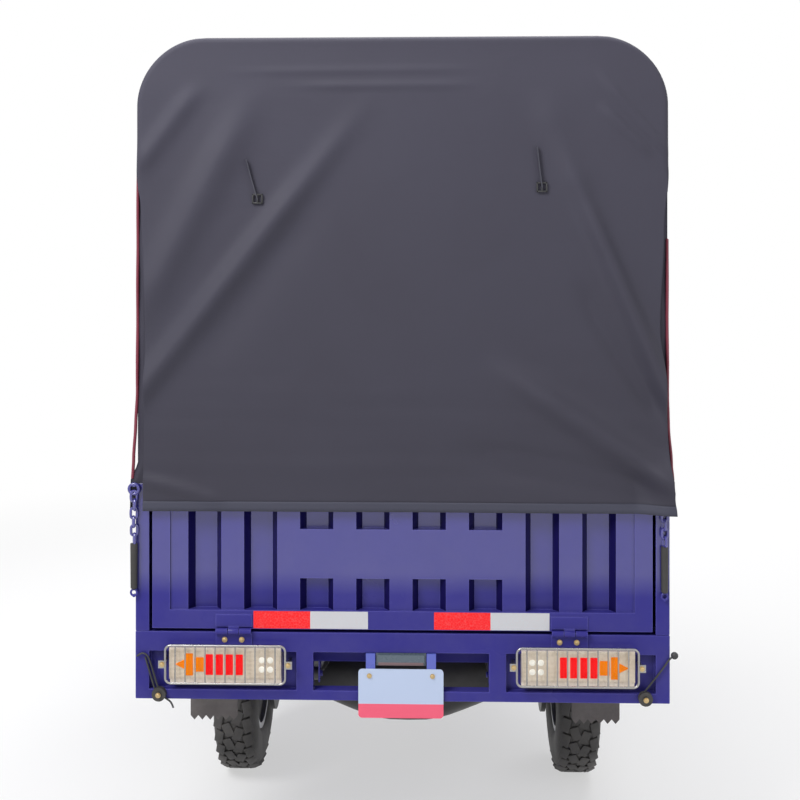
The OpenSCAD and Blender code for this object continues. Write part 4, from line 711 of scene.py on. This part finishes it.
# Rear curtain: one hanging sheet that laps round the cover's rear edge, with the photo's folds
curtainSet = {
    "hem": curtainLow.z, "face": canopySet["rear"] - 0.0085, "over": 0.0035, "lap": 0.030, "turn": 0.014,
    "lapFrom": 1.80, "lapBlend": 0.1, "thickness": 0.0024, "columns": 150, "rows": 170,
    # half widths by height
    "left": [(1.87, 0.6895), (1.75, 0.678), (1.50, 0.666), (1.25, 0.669), (0.975, 0.672)],
    "right": [(1.87, 0.6895), (1.70, 0.678), (1.45, 0.668), (1.30, 0.681), (1.10, 0.690), (1.055, 0.694),
              (1.03, 0.698), (0.975, 0.705)],
    # below the top edge: where the cloth leaves the rim, and where it starts to swing
    "freeFrom": (0.02, 0.16), "swingFrom": (0.015, 0.085),
    "standOff": 0.005, "belly": 0.006, "ripple": 0.0016, "rippleZ": (1.5, 1.15), "foldGain": 1.4,
    # noise scale across, place of the cut and scale up
    "bellyNoise": (2.6, 0.4, 2.1), "rippleNoise": (2.2, 3.0, 26),
    # held off the gate chain at the right hand hem
    "chainX": (0.60, 0.69), "chainZ": (1.16, 1.04), "chainOff": 0.034,
    # start and end (x, z), half width and height towards the rear
    "folds": [
        ((-0.112, 2.003), (-0.783, 1.153), 0.030, 0.015), ((-0.380, 2.058), (-0.690, 1.470), 0.045, 0.014),
        ((-0.523, 2.084), (-0.690, 1.862), 0.026, 0.008), ((-0.20, 1.80), (-0.52, 1.36), 0.045, -0.004),
        ((0.426, 1.889), (0.751, 1.132), 0.024, 0.019), ((0.465, 1.564), (0.675, 1.205), 0.026, -0.010),
        ((0.360, 2.060), (0.470, 1.800), 0.040, 0.006), ((0.500, 2.125), (0.692, 1.895), 0.012, 0.006),
        ((0.515, 2.030), (0.640, 1.900), 0.012, 0.005), ((-0.445, 2.120), (0.180, 2.124), 0.011, 0.004),
        ((-0.290, 2.081), (0.180, 2.082), 0.011, 0.003), ((0.250, 1.350), (0.760, 1.010), 0.036, 0.022),
        ((0.150, 1.135), (0.720, 1.018), 0.040, -0.012), ((-0.700, 1.066), (-0.460, 1.000), 0.016, 0.006),
    ],
    # shares of its length over which a fold fades in and out
    "foldFade": ((-0.1, 0.3), (1.1, 0.8)),
    "hemBand": 0.026, "hemThickness": 0.002, "hemOff": 0.0026,
    # straps with a buckle: top (x, z) and buckle (x, z)
    "straps": [((-0.403, 1.889), (-0.372, 1.787)), ((0.351, 1.920), (0.364, 1.816))],
    "strapSteps": 6, "strapHalf": (0.009, 0.0012), "strapOff": 0.0032,
    # the buckle's five bars, low and high (x, z) from its middle
    "buckle": [((-0.014, -0.013), (0.014, -0.009)), ((-0.014, 0.009), (0.014, 0.013)),
               ((-0.014, -0.013), (-0.010, 0.013)), ((0.010, -0.013), (0.014, 0.013)),
               ((-0.002, -0.011), (0.002, 0.011))],
    "buckleOff": 0.006, "buckleHalf": 0.002, "buckleEase": 0.001,
}


def foldRise(x, z, fold, fadeIn, fadeOut):
    (ax, az), (bx, bz), width, height = fold
    run = Vector((bx - ax, bz - az))
    across = Vector((x - ax, z - az))
    t = across.dot(run) / run.length_squared
    if not fadeIn[0] < t < fadeOut[0]:
        return 0
    off = abs(across.cross(run)) / run.length
    return height * math.exp(-(off / width) ** 2) * smoothStep(*fadeIn, t) * smoothStep(*fadeOut, t)


def clothNoise(x, z, scale):
    across, cut, up = scale
    return noise.noise(Vector((x * across, cut, z * up)))


def curtainY(x, z, c):
    # how far back the cloth stands at a point
    free = smoothStep(*[canopySet["top"] - drop for drop in c["freeFrom"]], z)
    rise = c["foldGain"] * sum(foldRise(x, z, fold, *c["foldFade"]) for fold in c["folds"])
    soft = clothNoise(x, z, c["bellyNoise"]) * c["belly"]
    fine = clothNoise(x, z, c["rippleNoise"]) * c["ripple"] * smoothStep(*c["rippleZ"], z)
    rear = c["face"] - free * (c["standOff"] + rise + soft + fine)
    chain = smoothStep(*c["chainX"], x) * smoothStep(*c["chainZ"], z)
    return min(rear, c["face"] + 0.003) - c["chainOff"] * chain


def edgeTurn(x, z, c):
    # the upper edges roll forward round the canopy's rim
    w, t, r = canopySet["half"] + c["over"], canopySet["top"] + c["over"], canopySet["corner"]
    inX, inZ = abs(x) - (w - r), z - (t - r)
    inside = r - math.hypot(inX, inZ) if inX > 0 and inZ > 0 else min(w - abs(x), t - z)
    inside = min(max(inside, 0), c["turn"])
    return c["turn"] - math.sqrt(c["turn"] ** 2 - (c["turn"] - inside) ** 2)


def makeCurtain(c):
    lapped = lambda z: smoothStep(c["lapFrom"], c["lapFrom"] + c["lapBlend"], z)

    def reach(side):
        # half width by height; the corners at the top limit it
        def at(z):
            half = cornerHalf(canopySet, z - c["over"]) + c["over"]
            return min(half, alongTable(c[side], z)) if z > c["lapFrom"] else alongTable(c[side], z)
        return at

    top = canopySet["top"]
    high = top + c["over"]
    bm = bmesh.new()
    endGrid(bm, c["columns"], c["rows"], reach("left"), reach("right"), c["hem"], high)
    for v in bm.verts:
        v.co.y = curtainY(v.co.x, v.co.z, c) + edgeTurn(v.co.x, v.co.z, c) * lapped(v.co.z)
    # the upper edges turn forward and lap over the cover
    rim = [e for e in bm.edges if e.is_boundary and min(v.co.z for v in e.verts) > c["lapFrom"]]
    for v in bmesh.ops.extrude_edge_only(bm, edges=rim)["geom"]:
        if isinstance(v, bmesh.types.BMVert):
            v.co.y += c["lap"] * lapped(v.co.z)
    curtain, area = newCloth("rearCurtain", bm, "canvas", None, c["thickness"], 0,
                             lambda v: (v.co.x, v.co.z - v.co.y), ["rear_curtain"])
    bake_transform(curtain)

    # doubled hem
    bm = bmesh.new()
    endGrid(bm, c["columns"], 3, reach("left"), reach("right"), c["hem"] + 0.0005, c["hem"] + c["hemBand"])
    for v in bm.verts:
        v.co.y = curtainY(v.co.x, v.co.z, c) - c["hemOff"]
    hem = newCloth("curtainHem", bm, "hemCanvas", "rear_curtain", c["hemThickness"], 0)[0]

    # straps and buckles
    webbing, metal = bmesh.new(), bmesh.new()
    steps, (wide, deep) = c["strapSteps"], c["strapHalf"]
    for (ax, az), (bx, bz) in c["straps"]:
        for k in range(steps):
            ends = [(ax + (bx - ax) * t, az + (bz - az) * t) for t in (k / steps, (k + 1.15) / steps)]
            a, b = [Vector((x, curtainY(x, z, c) - c["strapOff"], z)) for x, z in ends]
            turn = (b - a).to_track_quat("Z", "Y").to_matrix().to_4x4()
            addBox(webbing, (-wide, -deep, 0), (wide, deep, (b - a).length), place=moved(a) @ turn)
        y, thick = curtainY(bx, bz, c) - c["buckleOff"], c["buckleHalf"]
        for bar in c["buckle"]:
            corners = [(bx + x, y + away, bz + z) for away, (x, z) in zip((-thick, thick), bar)]
            addBox(metal, *corners, c["buckleEase"])
    straps = newPiece("curtainStraps", webbing, "webbing", "rear_curtain")
    buckles = newPiece("strapBuckles", metal, "blackPlastic", "rear_curtain")


makeCurtain(curtainSet)
print("rear curtain hung")

# Gate chains: ring, links and a black sleeve at each side
chainSet = {
    "x": (-0.697, 0.680), "y": rearFace - 0.0085, "top": boardTop - 0.014, "ring": 0.0128, "ringWire": 0.0042,
    "link": 0.0080, "wire": 0.0036, "stretch": 1.7, "pitch": 0.0222, "count": 6, "turn": 20, "sway": 0.0012,
    "sleeve": 0.0096, "sleeveEnd": 0.92, "sleeveTop": 0.889, "sleeveLow": 0.773,
    "eye": 0.008, "eyeWire": 0.0028, "eyeDrop": 0.012, "pinHalf": 0.003, "pinIn": 0.001, "pinEase": 0.001,
    # pins that hold the ring and the eye: low and high from the ring and from the sleeve's end
    "pins": [("top", 0.006, 0.014), ("sleeveLow", -0.024, -0.017)],
}


def makeChains(c):
    links, sleeves = bmesh.new(), bmesh.new()
    upright = turned(90, "X") @ turned(90, "Z")
    y, pin, narrow = c["y"], c["pinHalf"], c["sleeve"] * c["sleeveEnd"]
    for x in c["x"]:
        addRing(links, moved((x, y, c["top"])) @ upright, c["ring"], c["ringWire"])
        for line, low, high in c["pins"]:
            first = (x - pin, y - pin, c[line] + low)
            addBox(links, first, (x + pin, rearFace + c["pinIn"], c[line] + high), c["pinEase"])
        start = c["top"] - c["ring"] - 0.006
        for k in range(c["count"]):
            place = moved((x + c["sway"] * math.sin(k * 1.7), y, start - k * c["pitch"]))
            place = place @ turned(c["turn"] + 90 * (k % 2), "Z") @ upright
            addRing(links, place, c["link"], c["wire"], c["stretch"], steps=20, sides=8)
        end = (x, y, c["sleeveLow"])
        addRod(sleeves, (x, y, c["sleeveTop"]), end, c["sleeve"], narrow)
        addRod(sleeves, end, (x, y, c["sleeveLow"] - 0.004), narrow, 0.004)
        addRing(links, moved((x, y, c["sleeveLow"] - c["eyeDrop"])) @ upright, c["eye"], c["eyeWire"])
    newPiece("gateChains", links, "bluePaint", "chassis", ["gate_chains"])
    newPiece("chainSleeves", sleeves, "blackRubber", "chassis")


makeChains(chainSet)
print("chains hung")

# Tyres: rounded casing, shoulder lugs and slanting middle blocks
tyreSet = {
    "nodes": {"front_tyre": "front_wheel", "rear_tyre_left": "rear_wheel_left",
              "rear_tyre_right": "rear_wheel_right"},
    "depth": 0.0055, "bead": 0.010, "sweep": 62, "squareness": (0.62, 0.72), "lugs": 32, "across": 44,
    "around": 72, "stagger": 0.25, "ease": 0.0028,
    # place across, below the outer size, roll, slant, size across, share of the pitch, thickness, shift
    "blocks": [(0.645, 0.0092, 26, 12, 0.42, 0.84, 0.0135, 0.0),
               (0.225, 0.003, 5, -20, 0.42, 0.82, 0.0075, 0.5)],
}


def makeTyre(node, body, s):
    low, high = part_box(node)
    middle, outer, half = (low + high) / 2, (high.z - low.z) / 2, (high.x - low.x) / 2
    rimLow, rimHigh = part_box(node.replace("tyre", "rim"))
    bead, base = (rimHigh.z - rimLow.z) / 2 - s["bead"], outer - s["depth"]
    centre, rise = (bead + base) / 2, (base - bead) / 2
    bm = bmesh.new()
    # casing profile from the inner bead round the tread to the outer bead
    profile = []
    for k in range(s["across"] + 1):
        a = math.radians(-s["sweep"] + (180 + 2 * s["sweep"]) * k / s["across"])
        x, r = [math.copysign(abs(way) ** power, way)
                for way, power in zip((math.cos(a), math.sin(a)), s["squareness"])]
        profile.append(bm.verts.new(middle + Vector((half * x, 0, centre + rise * r))))
    edges = [bm.edges.new(pair) for pair in zip(profile, profile[1:])]
    bmesh.ops.spin(bm, geom=profile + edges, cent=middle, axis=(1, 0, 0), angle=math.tau, steps=s["around"],
                   use_merge=True)
    bmesh.ops.holes_fill(bm, edges=[e for e in bm.edges if e.is_boundary], sides=0)
    step = math.tau / s["lugs"]
    for k in range(s["lugs"]):
        for side in (-1, 1):
            for across, down, roll, slant, wide, share, deep, shift in s["blocks"]:
                turn = Matrix.Rotation(step * (k + shift + (s["stagger"] if side > 0 else 0)), 4, "X")
                place = moved(middle) @ turn @ moved((side * across * half, 0, outer - down))
                place = place @ turned(side * roll, "Y") @ turned(side * slant, "Z")
                size = Vector((wide * half, share * step * outer, deep))
                addBox(bm, -size / 2, size / 2, s["ease"], 2, place)
    for v in bm.verts:
        # nothing stands out past the node's own size
        flat = Vector((0, v.co.y - middle.y, v.co.z - middle.z))
        if flat.length > outer:
            flat *= outer / flat.length
            v.co.y, v.co.z = middle.y + flat.y, middle.z + flat.z
    newPiece(node.replace("_", ""), bm, "blackRubber", body, [node], sharp=32)


for tyreNode, tyreBody in tyreSet["nodes"].items():
    makeTyre(tyreNode, tyreBody, tyreSet)
print("tyres moulded")

# Tail lamps: arrow, red bars and white bulbs behind a clear ribbed cover
lampLow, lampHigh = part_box("tail_lamp_right")
lampSet = {
    "face": lampLow.y, "thick": 0.0022, "ease": 0.0012, "middle": lampHigh.z - 0.043,
    # distances out from the vehicle's middle and half heights, metres
    "amberTip": (0.543, 0.588, 0.023), "amber": [(0.5415, 0.5625, 0.0285), (0.513, 0.538, 0.0185)],
    "red": [0.4215, 0.4475, 0.4735, 0.4995], "redHalf": (0.0105, 0.0265),
    "white": [0.340, 0.362], "whiteRows": (-0.012, 0.012), "whiteRadius": 0.0082, "whiteFlat": 0.35,
    # clear cover: far and near from the face, inset, and below the lamp's top
    "cover": (0.0062, 0.0032), "coverInset": 0.001, "coverZ": (0.0795, 0.0005), "coverEase": 0.0014,
}


def makeLamps(s):
    amber, red, white, cover = [bmesh.new() for k in range(4)]
    y, z = s["face"], s["middle"]
    for side in (-1, 1):
        def slab(bm, near, far, half):
            left, right = sorted((side * near, side * far))
            addBox(bm, (left, y - s["thick"], z - half), (right, y, z + half), s["ease"])
        for bar in s["amber"]:
            slab(amber, *bar)
        # arrow head: a three-sided prism with its tip outwards
        near, far, half = s["amberTip"]
        reach = (far - near) / 1.5
        tip = moved((side * (near + reach / 2), y - s["thick"] / 2, z))
        tip = tip @ turned(90, "X") @ turned(-90 * side, "Z")
        tip = tip @ Matrix.Diagonal((half / (reach * 0.866), 1, 1, 1))
        bmesh.ops.create_cone(amber, cap_ends=True, segments=3, radius1=reach, radius2=reach * 0.94,
                              depth=s["thick"], matrix=tip)
        wide, tall = s["redHalf"]
        for x in s["red"]:
            slab(red, x - wide, x + wide, tall)
        for x in s["white"]:
            for up in s["whiteRows"]:
                addBall(white, (side * x, y, z + up), s["whiteRadius"], 20, 12, s["whiteFlat"])
        left, right = sorted((side * lampLow.x, side * lampHigh.x))
        low, high = [Vector((x, y - deep, lampHigh.z - down)) for x, deep, down in
                     zip((left + s["coverInset"], right - s["coverInset"]), s["cover"], s["coverZ"])]
        addBox(cover, low, high, s["coverEase"], 3)
    for name, bm, finish in (("lampArrows", amber, "lampAmber"), ("lampStopBars", red, "lampRed"),
                             ("lampBulbs", white, "lampWhite"), ("lampCovers", cover, "clearLens")):
        newPiece(name, bm, finish, "chassis")


makeLamps(lampSet)
print("tail lamps filled")

# Brass bolts on bar, guards and plate, and the plate lamp's lower shade
plateLow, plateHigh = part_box("number_plate")
guardLow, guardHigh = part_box("lamp_guard_right")
boltSet = {
    "hingeX": (-0.460, -0.4153, 0.4108, 0.455), "hingeZ": 0.6385, "hingeOff": 0.003, "hingeSize": 0.0058,
    "guardInset": 0.010, "guardIn": 0.0015, "guardSize": 0.0055, "plate": 0.082, "plateDrop": 0.018,
    "plateSize": 0.0052,
    # the shade's low and high corner from the plate lamp's own
    "shade": ((0.006, -0.001, 0.002), (-0.006, 0.006, 0.0105)), "shadeEase": 0.002,
}
back = Vector((0, -1, 0))


def makeBolts(s):
    brass, shade = bmesh.new(), bmesh.new()
    for x in s["hingeX"]:
        addBolt(brass, (x, rearFace - s["hingeOff"], s["hingeZ"]), back, s["hingeSize"])
    middle = (guardLow.z + guardHigh.z) / 2
    for side in (-1, 1):
        for x in (guardLow.x + s["guardInset"], guardHigh.x - s["guardInset"]):
            addBolt(brass, (side * x, guardLow.y + s["guardIn"], middle), back, s["guardSize"])
        addBolt(brass, (side * s["plate"], plateLow.y, plateHigh.z - s["plateDrop"]), back, s["plateSize"])
    newPiece("brassBolts", brass, "brassZinc", "chassis")
    low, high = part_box("plate_lamp")
    first, second = s["shade"]
    addBox(shade, low + Vector(first), Vector((high.x, low.y, low.z)) + Vector(second), s["shadeEase"])
    newPiece("plateLampShade", shade, "plateShade", "chassis")


makeBolts(boltSet)
print("bolts set")

# Tie cords held by the buffers at the bar's ends
tieSet = {
    "diameter": 0.0048, "y": rearFace - 0.006, "points": 24, "bevel": 4,
    # each cord's (x, z) points from its exit, its far end and how it lies
    "cords": {
        "tieCordLeft": ([(-0.690, 0.594), (-0.676, 0.602), (-0.662, 0.595), (-0.652, 0.570), (-0.640, 0.530),
                         (-0.629, 0.500), (-0.614, 0.485), (-0.601, 0.475), (-0.594, 0.460)],
                        "bare", "hanging"),
        "tieStrandLeft": ([(-0.640, 0.500), (-0.651, 0.535), (-0.662, 0.572), (-0.668, 0.592)],
                          "object", "taut"),
        "tieCordRight": ([(0.622, 0.505), (0.640, 0.528), (0.660, 0.553), (0.678, 0.577), (0.689, 0.593),
                          (0.700, 0.605)], "fitting", "taut"),
    },
    "knob": (0.706, 0.608), "knobRadius": 0.0095, "neck": 0.004, "knobOn": "tieCordRight",
    "bolt": (0.631, 0.497), "boltSize": 0.0056,
}


def smoothRun(points, steps):
    # points along one smooth curve through the given ones
    run = []
    for k, (a, b) in enumerate(zip(points, points[1:])):
        before, after = points[max(k - 1, 0)], points[min(k + 2, len(points) - 1)]
        run += geometry.interpolate_bezier(a, a + (b - before) / 6, b - (after - a) / 6, b, steps)[:-1]
    return run + [points[-1]]


def makeTies(s):
    place = lambda x, z: Vector((x, s["y"], z))
    bm = bmesh.new()
    addRod(bm, place(*s["cords"][s["knobOn"]][0][-1]), place(*s["knob"]), s["neck"], sides=14)
    addBall(bm, place(*s["knob"]), s["knobRadius"], 24, 16)
    knob = newPiece("tieKnob", bm, "blackCord", "chassis")
    for name, (keys, farEnd, lay) in s["cords"].items():
        run = smoothRun([place(x, z) for x, z in keys], round(s["points"] / (len(keys) - 1)) + 1)
        curve = bpy.data.curves.new(name, "CURVE")
        curve.dimensions = "3D"
        curve.bevel_depth = s["diameter"] / 2
        curve.bevel_resolution = s["bevel"]
        curve.use_fill_caps = True
        spline = curve.splines.new("POLY")
        spline.points.add(len(run) - 1)
        for point, spot in zip(spline.points, run):
            point.co = (*spot, 1)
        curve.materials.append(finishes["blackCord"])
        cord = bpy.data.objects.new(name, curve)
        scene.collection.objects.link(cord)
        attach(cord, "chassis")
    brass = bmesh.new()
    x, z = s["bolt"]
    for side in (-1, 1):
        addBolt(brass, (side * x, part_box("tie_buffers")[0].y, z), back, s["boltSize"])
    newPiece("bufferBolts", brass, "brassZinc", "chassis")


makeTies(tieSet)

# Dark red piping down the cover's rear edges: half widths by height
pipingSet = {
    "radius": 0.0042, "y": rearFace - 0.001, "wave": 0.0015, "steps": 40,
    "left": [(1.86, 0.688), (1.70, 0.6885), (1.50, 0.689), (1.29, 0.690), (1.20, 0.694), (1.10, 0.700),
             (1.06, 0.703)],
    "right": [(1.68, 0.688), (1.50, 0.688), (1.30, 0.689), (1.20, 0.691), (1.10, 0.699), (1.06, 0.703)],
}


def makePiping(s):
    bm = bmesh.new()
    for side, rows in ((-1, s["left"]), (1, s["right"])):
        top, low = rows[0][0], rows[-1][0]
        heights = [top + (low - top) * k / s["steps"] for k in range(s["steps"] + 1)]
        addCord(bm, [Vector((side * alongTable(rows, z), s["y"] + s["wave"] * math.sin(z * 31), z))
                     for z in heights], s["radius"])
    return newPiece("coverPiping", bm, "redPiping", "chassis")


piping = makePiping(pipingSet)
print("cords and piping sewn")

# Rider's seat and backrest: filled pads with stitched channels
seamSet = {"at": (-0.13, 0.0, 0.13), "width": 0.007, "depth": 0.006}
padSet = {
    "rider_seat": {"piece": "seatPad", "inset": 0.010, "round": 0.026, "voxel": 0.010, "cap": 0.016,
                   "pressure": 4.0, "steps": 20, "face": 2, "fill": 0.6},
    "seat_backrest": {"piece": "backrestPad", "inset": 0.008, "round": 0.018, "voxel": 0.009, "cap": 0.011,
                      "pressure": 4.0, "steps": 20, "face": 1, "fill": 0.6},
}


def evenMesh(piece):
    graph = bpy.context.evaluated_depsgraph_get()
    return bpy.data.meshes.new_from_object(piece.evaluated_get(graph), depsgraph=graph)


def inflate(piece, s):
    skin = piece.modifiers.new("evenSkin", "REMESH")
    skin.mode = "VOXEL"
    skin.voxel_size = s["voxel"]
    even = evenMesh(piece)
    piece.modifiers.remove(skin)
    piece.data = even
    start = [v.co.copy() for v in even.vertices]
    cloth = piece.modifiers.new("filling", "CLOTH")
    cloth.settings.use_pressure = True
    cloth.settings.uniform_pressure_force = s["pressure"]
    cloth.settings.effector_weights.gravity = 0
    cloth.settings.quality = 5
    cloth.point_cache.frame_end = s["steps"]
    for step in range(1, s["steps"] + 1):
        scene.frame_set(step)
    filled = evenMesh(piece)
    ends = [v.co.copy() for v in filled.vertices]
    piece.modifiers.remove(cloth)
    bpy.data.meshes.remove(filled)
    for v, a, b in zip(even.vertices, start, ends):
        move = b - a
        if move.length > s["cap"]:
            move *= s["cap"] / move.length
        v.co = a + move
    scene.frame_set(1)


def makePad(node, s, seams):
    low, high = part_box(node)
    inset = Vector((s["inset"],) * 3)
    bm = bmesh.new()
    addBox(bm, low + inset, high - inset, s["round"], 4)
    pad = newPiece(s["piece"], bm, "seatSkin", None, [node], sharp=80)
    inflate(pad, s)
    bm = bmesh.new()
    bm.from_mesh(pad.data)
    bmesh.ops.subdivide_edges(bm, edges=bm.edges, cuts=1, smooth=0.0, use_grid_fill=True)
    # stitched channels across the face
    middle, face = (low + high) / 2, s["face"]
    for v in bm.verts:
        deep = sum(math.exp(-((v.co.x - middle.x - at) / seams["width"]) ** 2) for at in seams["at"])
        if v.co[face] > middle[face]:
            v.co[face] -= seams["depth"] * deep
        for k in range(3):
            v.co[k] = min(max(v.co[k], low[k]), high[k])
    bm.to_mesh(pad.data)
    bm.free()
    pad.data.shade_smooth()
    if not pad.data.materials:
        pad.data.materials.append(finishes["seatSkin"])
    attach(pad, "chassis")


for padNode, padValues in padSet.items():
    makePad(padNode, padValues, seamSet)
print("seat padded")

# Front end: reflector, bezels, mirror glass, dial, levers and wheel nuts
lensLow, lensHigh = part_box("headlamp_lens")
mirrorLow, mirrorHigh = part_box("mirrors")
gripLow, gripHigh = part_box("handlebar_grips")
frontSet = {
    "lensRadius": 0.080, "bezel": 0.0045, "bezelAhead": 0.004, "bulb": 0.012, "bulbFlat": 0.3,
    "mirrorRadius": 0.066, "mirrorRim": 0.0034, "mirrorHalf": 0.001,
    "dialCentre": (0, 1.0508, 1.1077), "dialTilt": 26.0, "dialRadius": 0.044, "dialRim": 0.003,
    # ticks: inner end, short and long outer ends
    "ticks": 13, "tickFrom": -135, "tickStep": 22.5, "tickRun": (0.026, 0.031, 0.034), "tickHalf": 0.0008,
    "tickZ": (0.0007, 0.0013), "needleZ": (0.0012, 0.0020),
    "needle": 118, "needleRun": (-0.006, 0.028), "needleHalf": 0.0010, "needleHub": 0.004,
    "grip": 0.126, "gripRun": (0.891, -0.3615, -0.2754), "gripEnd": (0.0073, 0.0149, 0.0154),
    # switch housing and lever clamp, from the grip's inner end
    "housing": 0.0195, "housingRun": (0.046, 0.004), "clampAt": 0.020, "clampEase": 0.003,
    "clamp": ((-0.011, -0.009, -0.011), (0.011, 0.040, 0.011)),
    # lever: distances along the grip and ahead of it at hinge, knee and tip
    "lever": [(-0.016, 0.036), (0.030, 0.046), (0.122, 0.050)], "leverRadius": 0.0052, "tipBall": 0.0085,
    "nutRing": 0.034, "nuts": 4, "nutSize": 0.0085, "hubHalf": 0.060,
}


def makeFront(s):
    chrome, glass, black, pale, red, bulb = [bmesh.new() for k in range(6)]
    ahead = turned(90, "X")
    forward = lambda y: Vector((0, y, 0))
    # headlamp reflector with its bulb, and a bezel
    lens = Vector((0, lensLow.y, (lensLow.z + lensHigh.z) / 2))
    bezel = lens + forward(s["bezelAhead"])
    addRod(chrome, lens + forward(0.0006), lens + forward(0.0016), s["lensRadius"] * 0.93, sides=48)
    addRing(chrome, moved(bezel) @ ahead, s["lensRadius"], s["bezel"], steps=48)
    addBall(bulb, bezel, s["bulb"], 20, 12, s["bulbFlat"])
    newPiece("headlampBulb", bulb, "lampWhite", "steering")
    # mirrors
    radius, thick = s["mirrorRadius"], forward(s["mirrorHalf"])
    for side in (-1, 1):
        head = Vector((side * (mirrorHigh.x - radius), mirrorLow.y, mirrorHigh.z - radius))
        addRod(glass, head - thick, head + thick, radius * 0.9, sides=40)
        addRing(black, moved(head) @ ahead, radius * 0.945, s["mirrorRim"], steps=40)
    # dial with plain ticks and a needle
    dial = moved(s["dialCentre"]) @ turned(s["dialTilt"], "X")
    above = lambda z: dial @ Vector((0, 0, z))
    addRing(chrome, dial, s["dialRadius"] - s["dialRim"], s["dialRim"], steps=40)
    addRod(black, above(-0.001), above(0.0008), s["dialRadius"] - 0.004, sides=40)

    def mark(bm, half, run, level, degrees):
        # thin bar on the dial, turned about the dial's middle
        low, high = [(across, *spot) for across, spot in zip((-half, half), zip(run, level))]
        addBox(bm, low, high, place=dial @ turned(degrees, "Z"))

    inner, short, long = s["tickRun"]
    for k in range(s["ticks"]):
        run = (inner, short if k % 3 else long)
        mark(pale, s["tickHalf"], run, s["tickZ"], s["tickFrom"] + s["tickStep"] * k)
    mark(red, s["needleHalf"], s["needleRun"], s["needleZ"], s["needle"])
    addRod(black, above(0.0006), above(0.003), s["needleHub"])
    # levers and switch housings
    for side in (-1, 1):
        run = Vector((side * s["gripRun"][0], *s["gripRun"][1:]))
        inX, upY, upZ = s["gripEnd"]
        start = Vector((side * (gripHigh.x - inX), gripLow.y + upY, gripLow.z + upZ)) - run * s["grip"]
        front = (run.cross(Vector((0, 0, 1))) * -side).normalized()
        far, near = s["housingRun"]
        addRod(black, start - run * far, start - run * near, s["housing"])
        turn = front.to_track_quat("Y", "Z").to_matrix().to_4x4()
        addBox(black, *s["clamp"], s["clampEase"], 2, moved(start - run * s["clampAt"]) @ turn)
        lever = [start + run * along + front * out for along, out in s["lever"]]
        addCord(chrome, lever, s["leverRadius"])
        addBall(chrome, lever[-1], s["tipBall"], 16, 10)
    for name, bm, finish in (("frontBrightwork", chrome, "chromeWire"), ("mirrorGlass", glass, "mirrorGlass"),
                             ("frontBlackParts", black, "blackPlastic"), ("dialTicks", pale, "lampWhite"),
                             ("dialNeedle", red, "lampRed")):
        newPiece(name, bm, finish, "steering")
    # wheel nuts on the rear hubs
    for side, name in ((-1, "left"), (1, "right")):
        low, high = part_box("rear_rim_" + name)
        face = (low + high) / 2 + Vector((side * s["hubHalf"], 0, 0))
        nuts = bmesh.new()
        for k in range(s["nuts"]):
            a = math.tau * (k + 0.5) / s["nuts"]
            spot = face + Vector((0, math.cos(a), math.sin(a))) * s["nutRing"]
            addBolt(nuts, spot, (side, 0, 0), s["nutSize"])
        newPiece("wheelNuts" + name.capitalize(), nuts, "wornSteel", "rear_wheel_" + name)


makeFront(frontSet)
print("front end fitted")
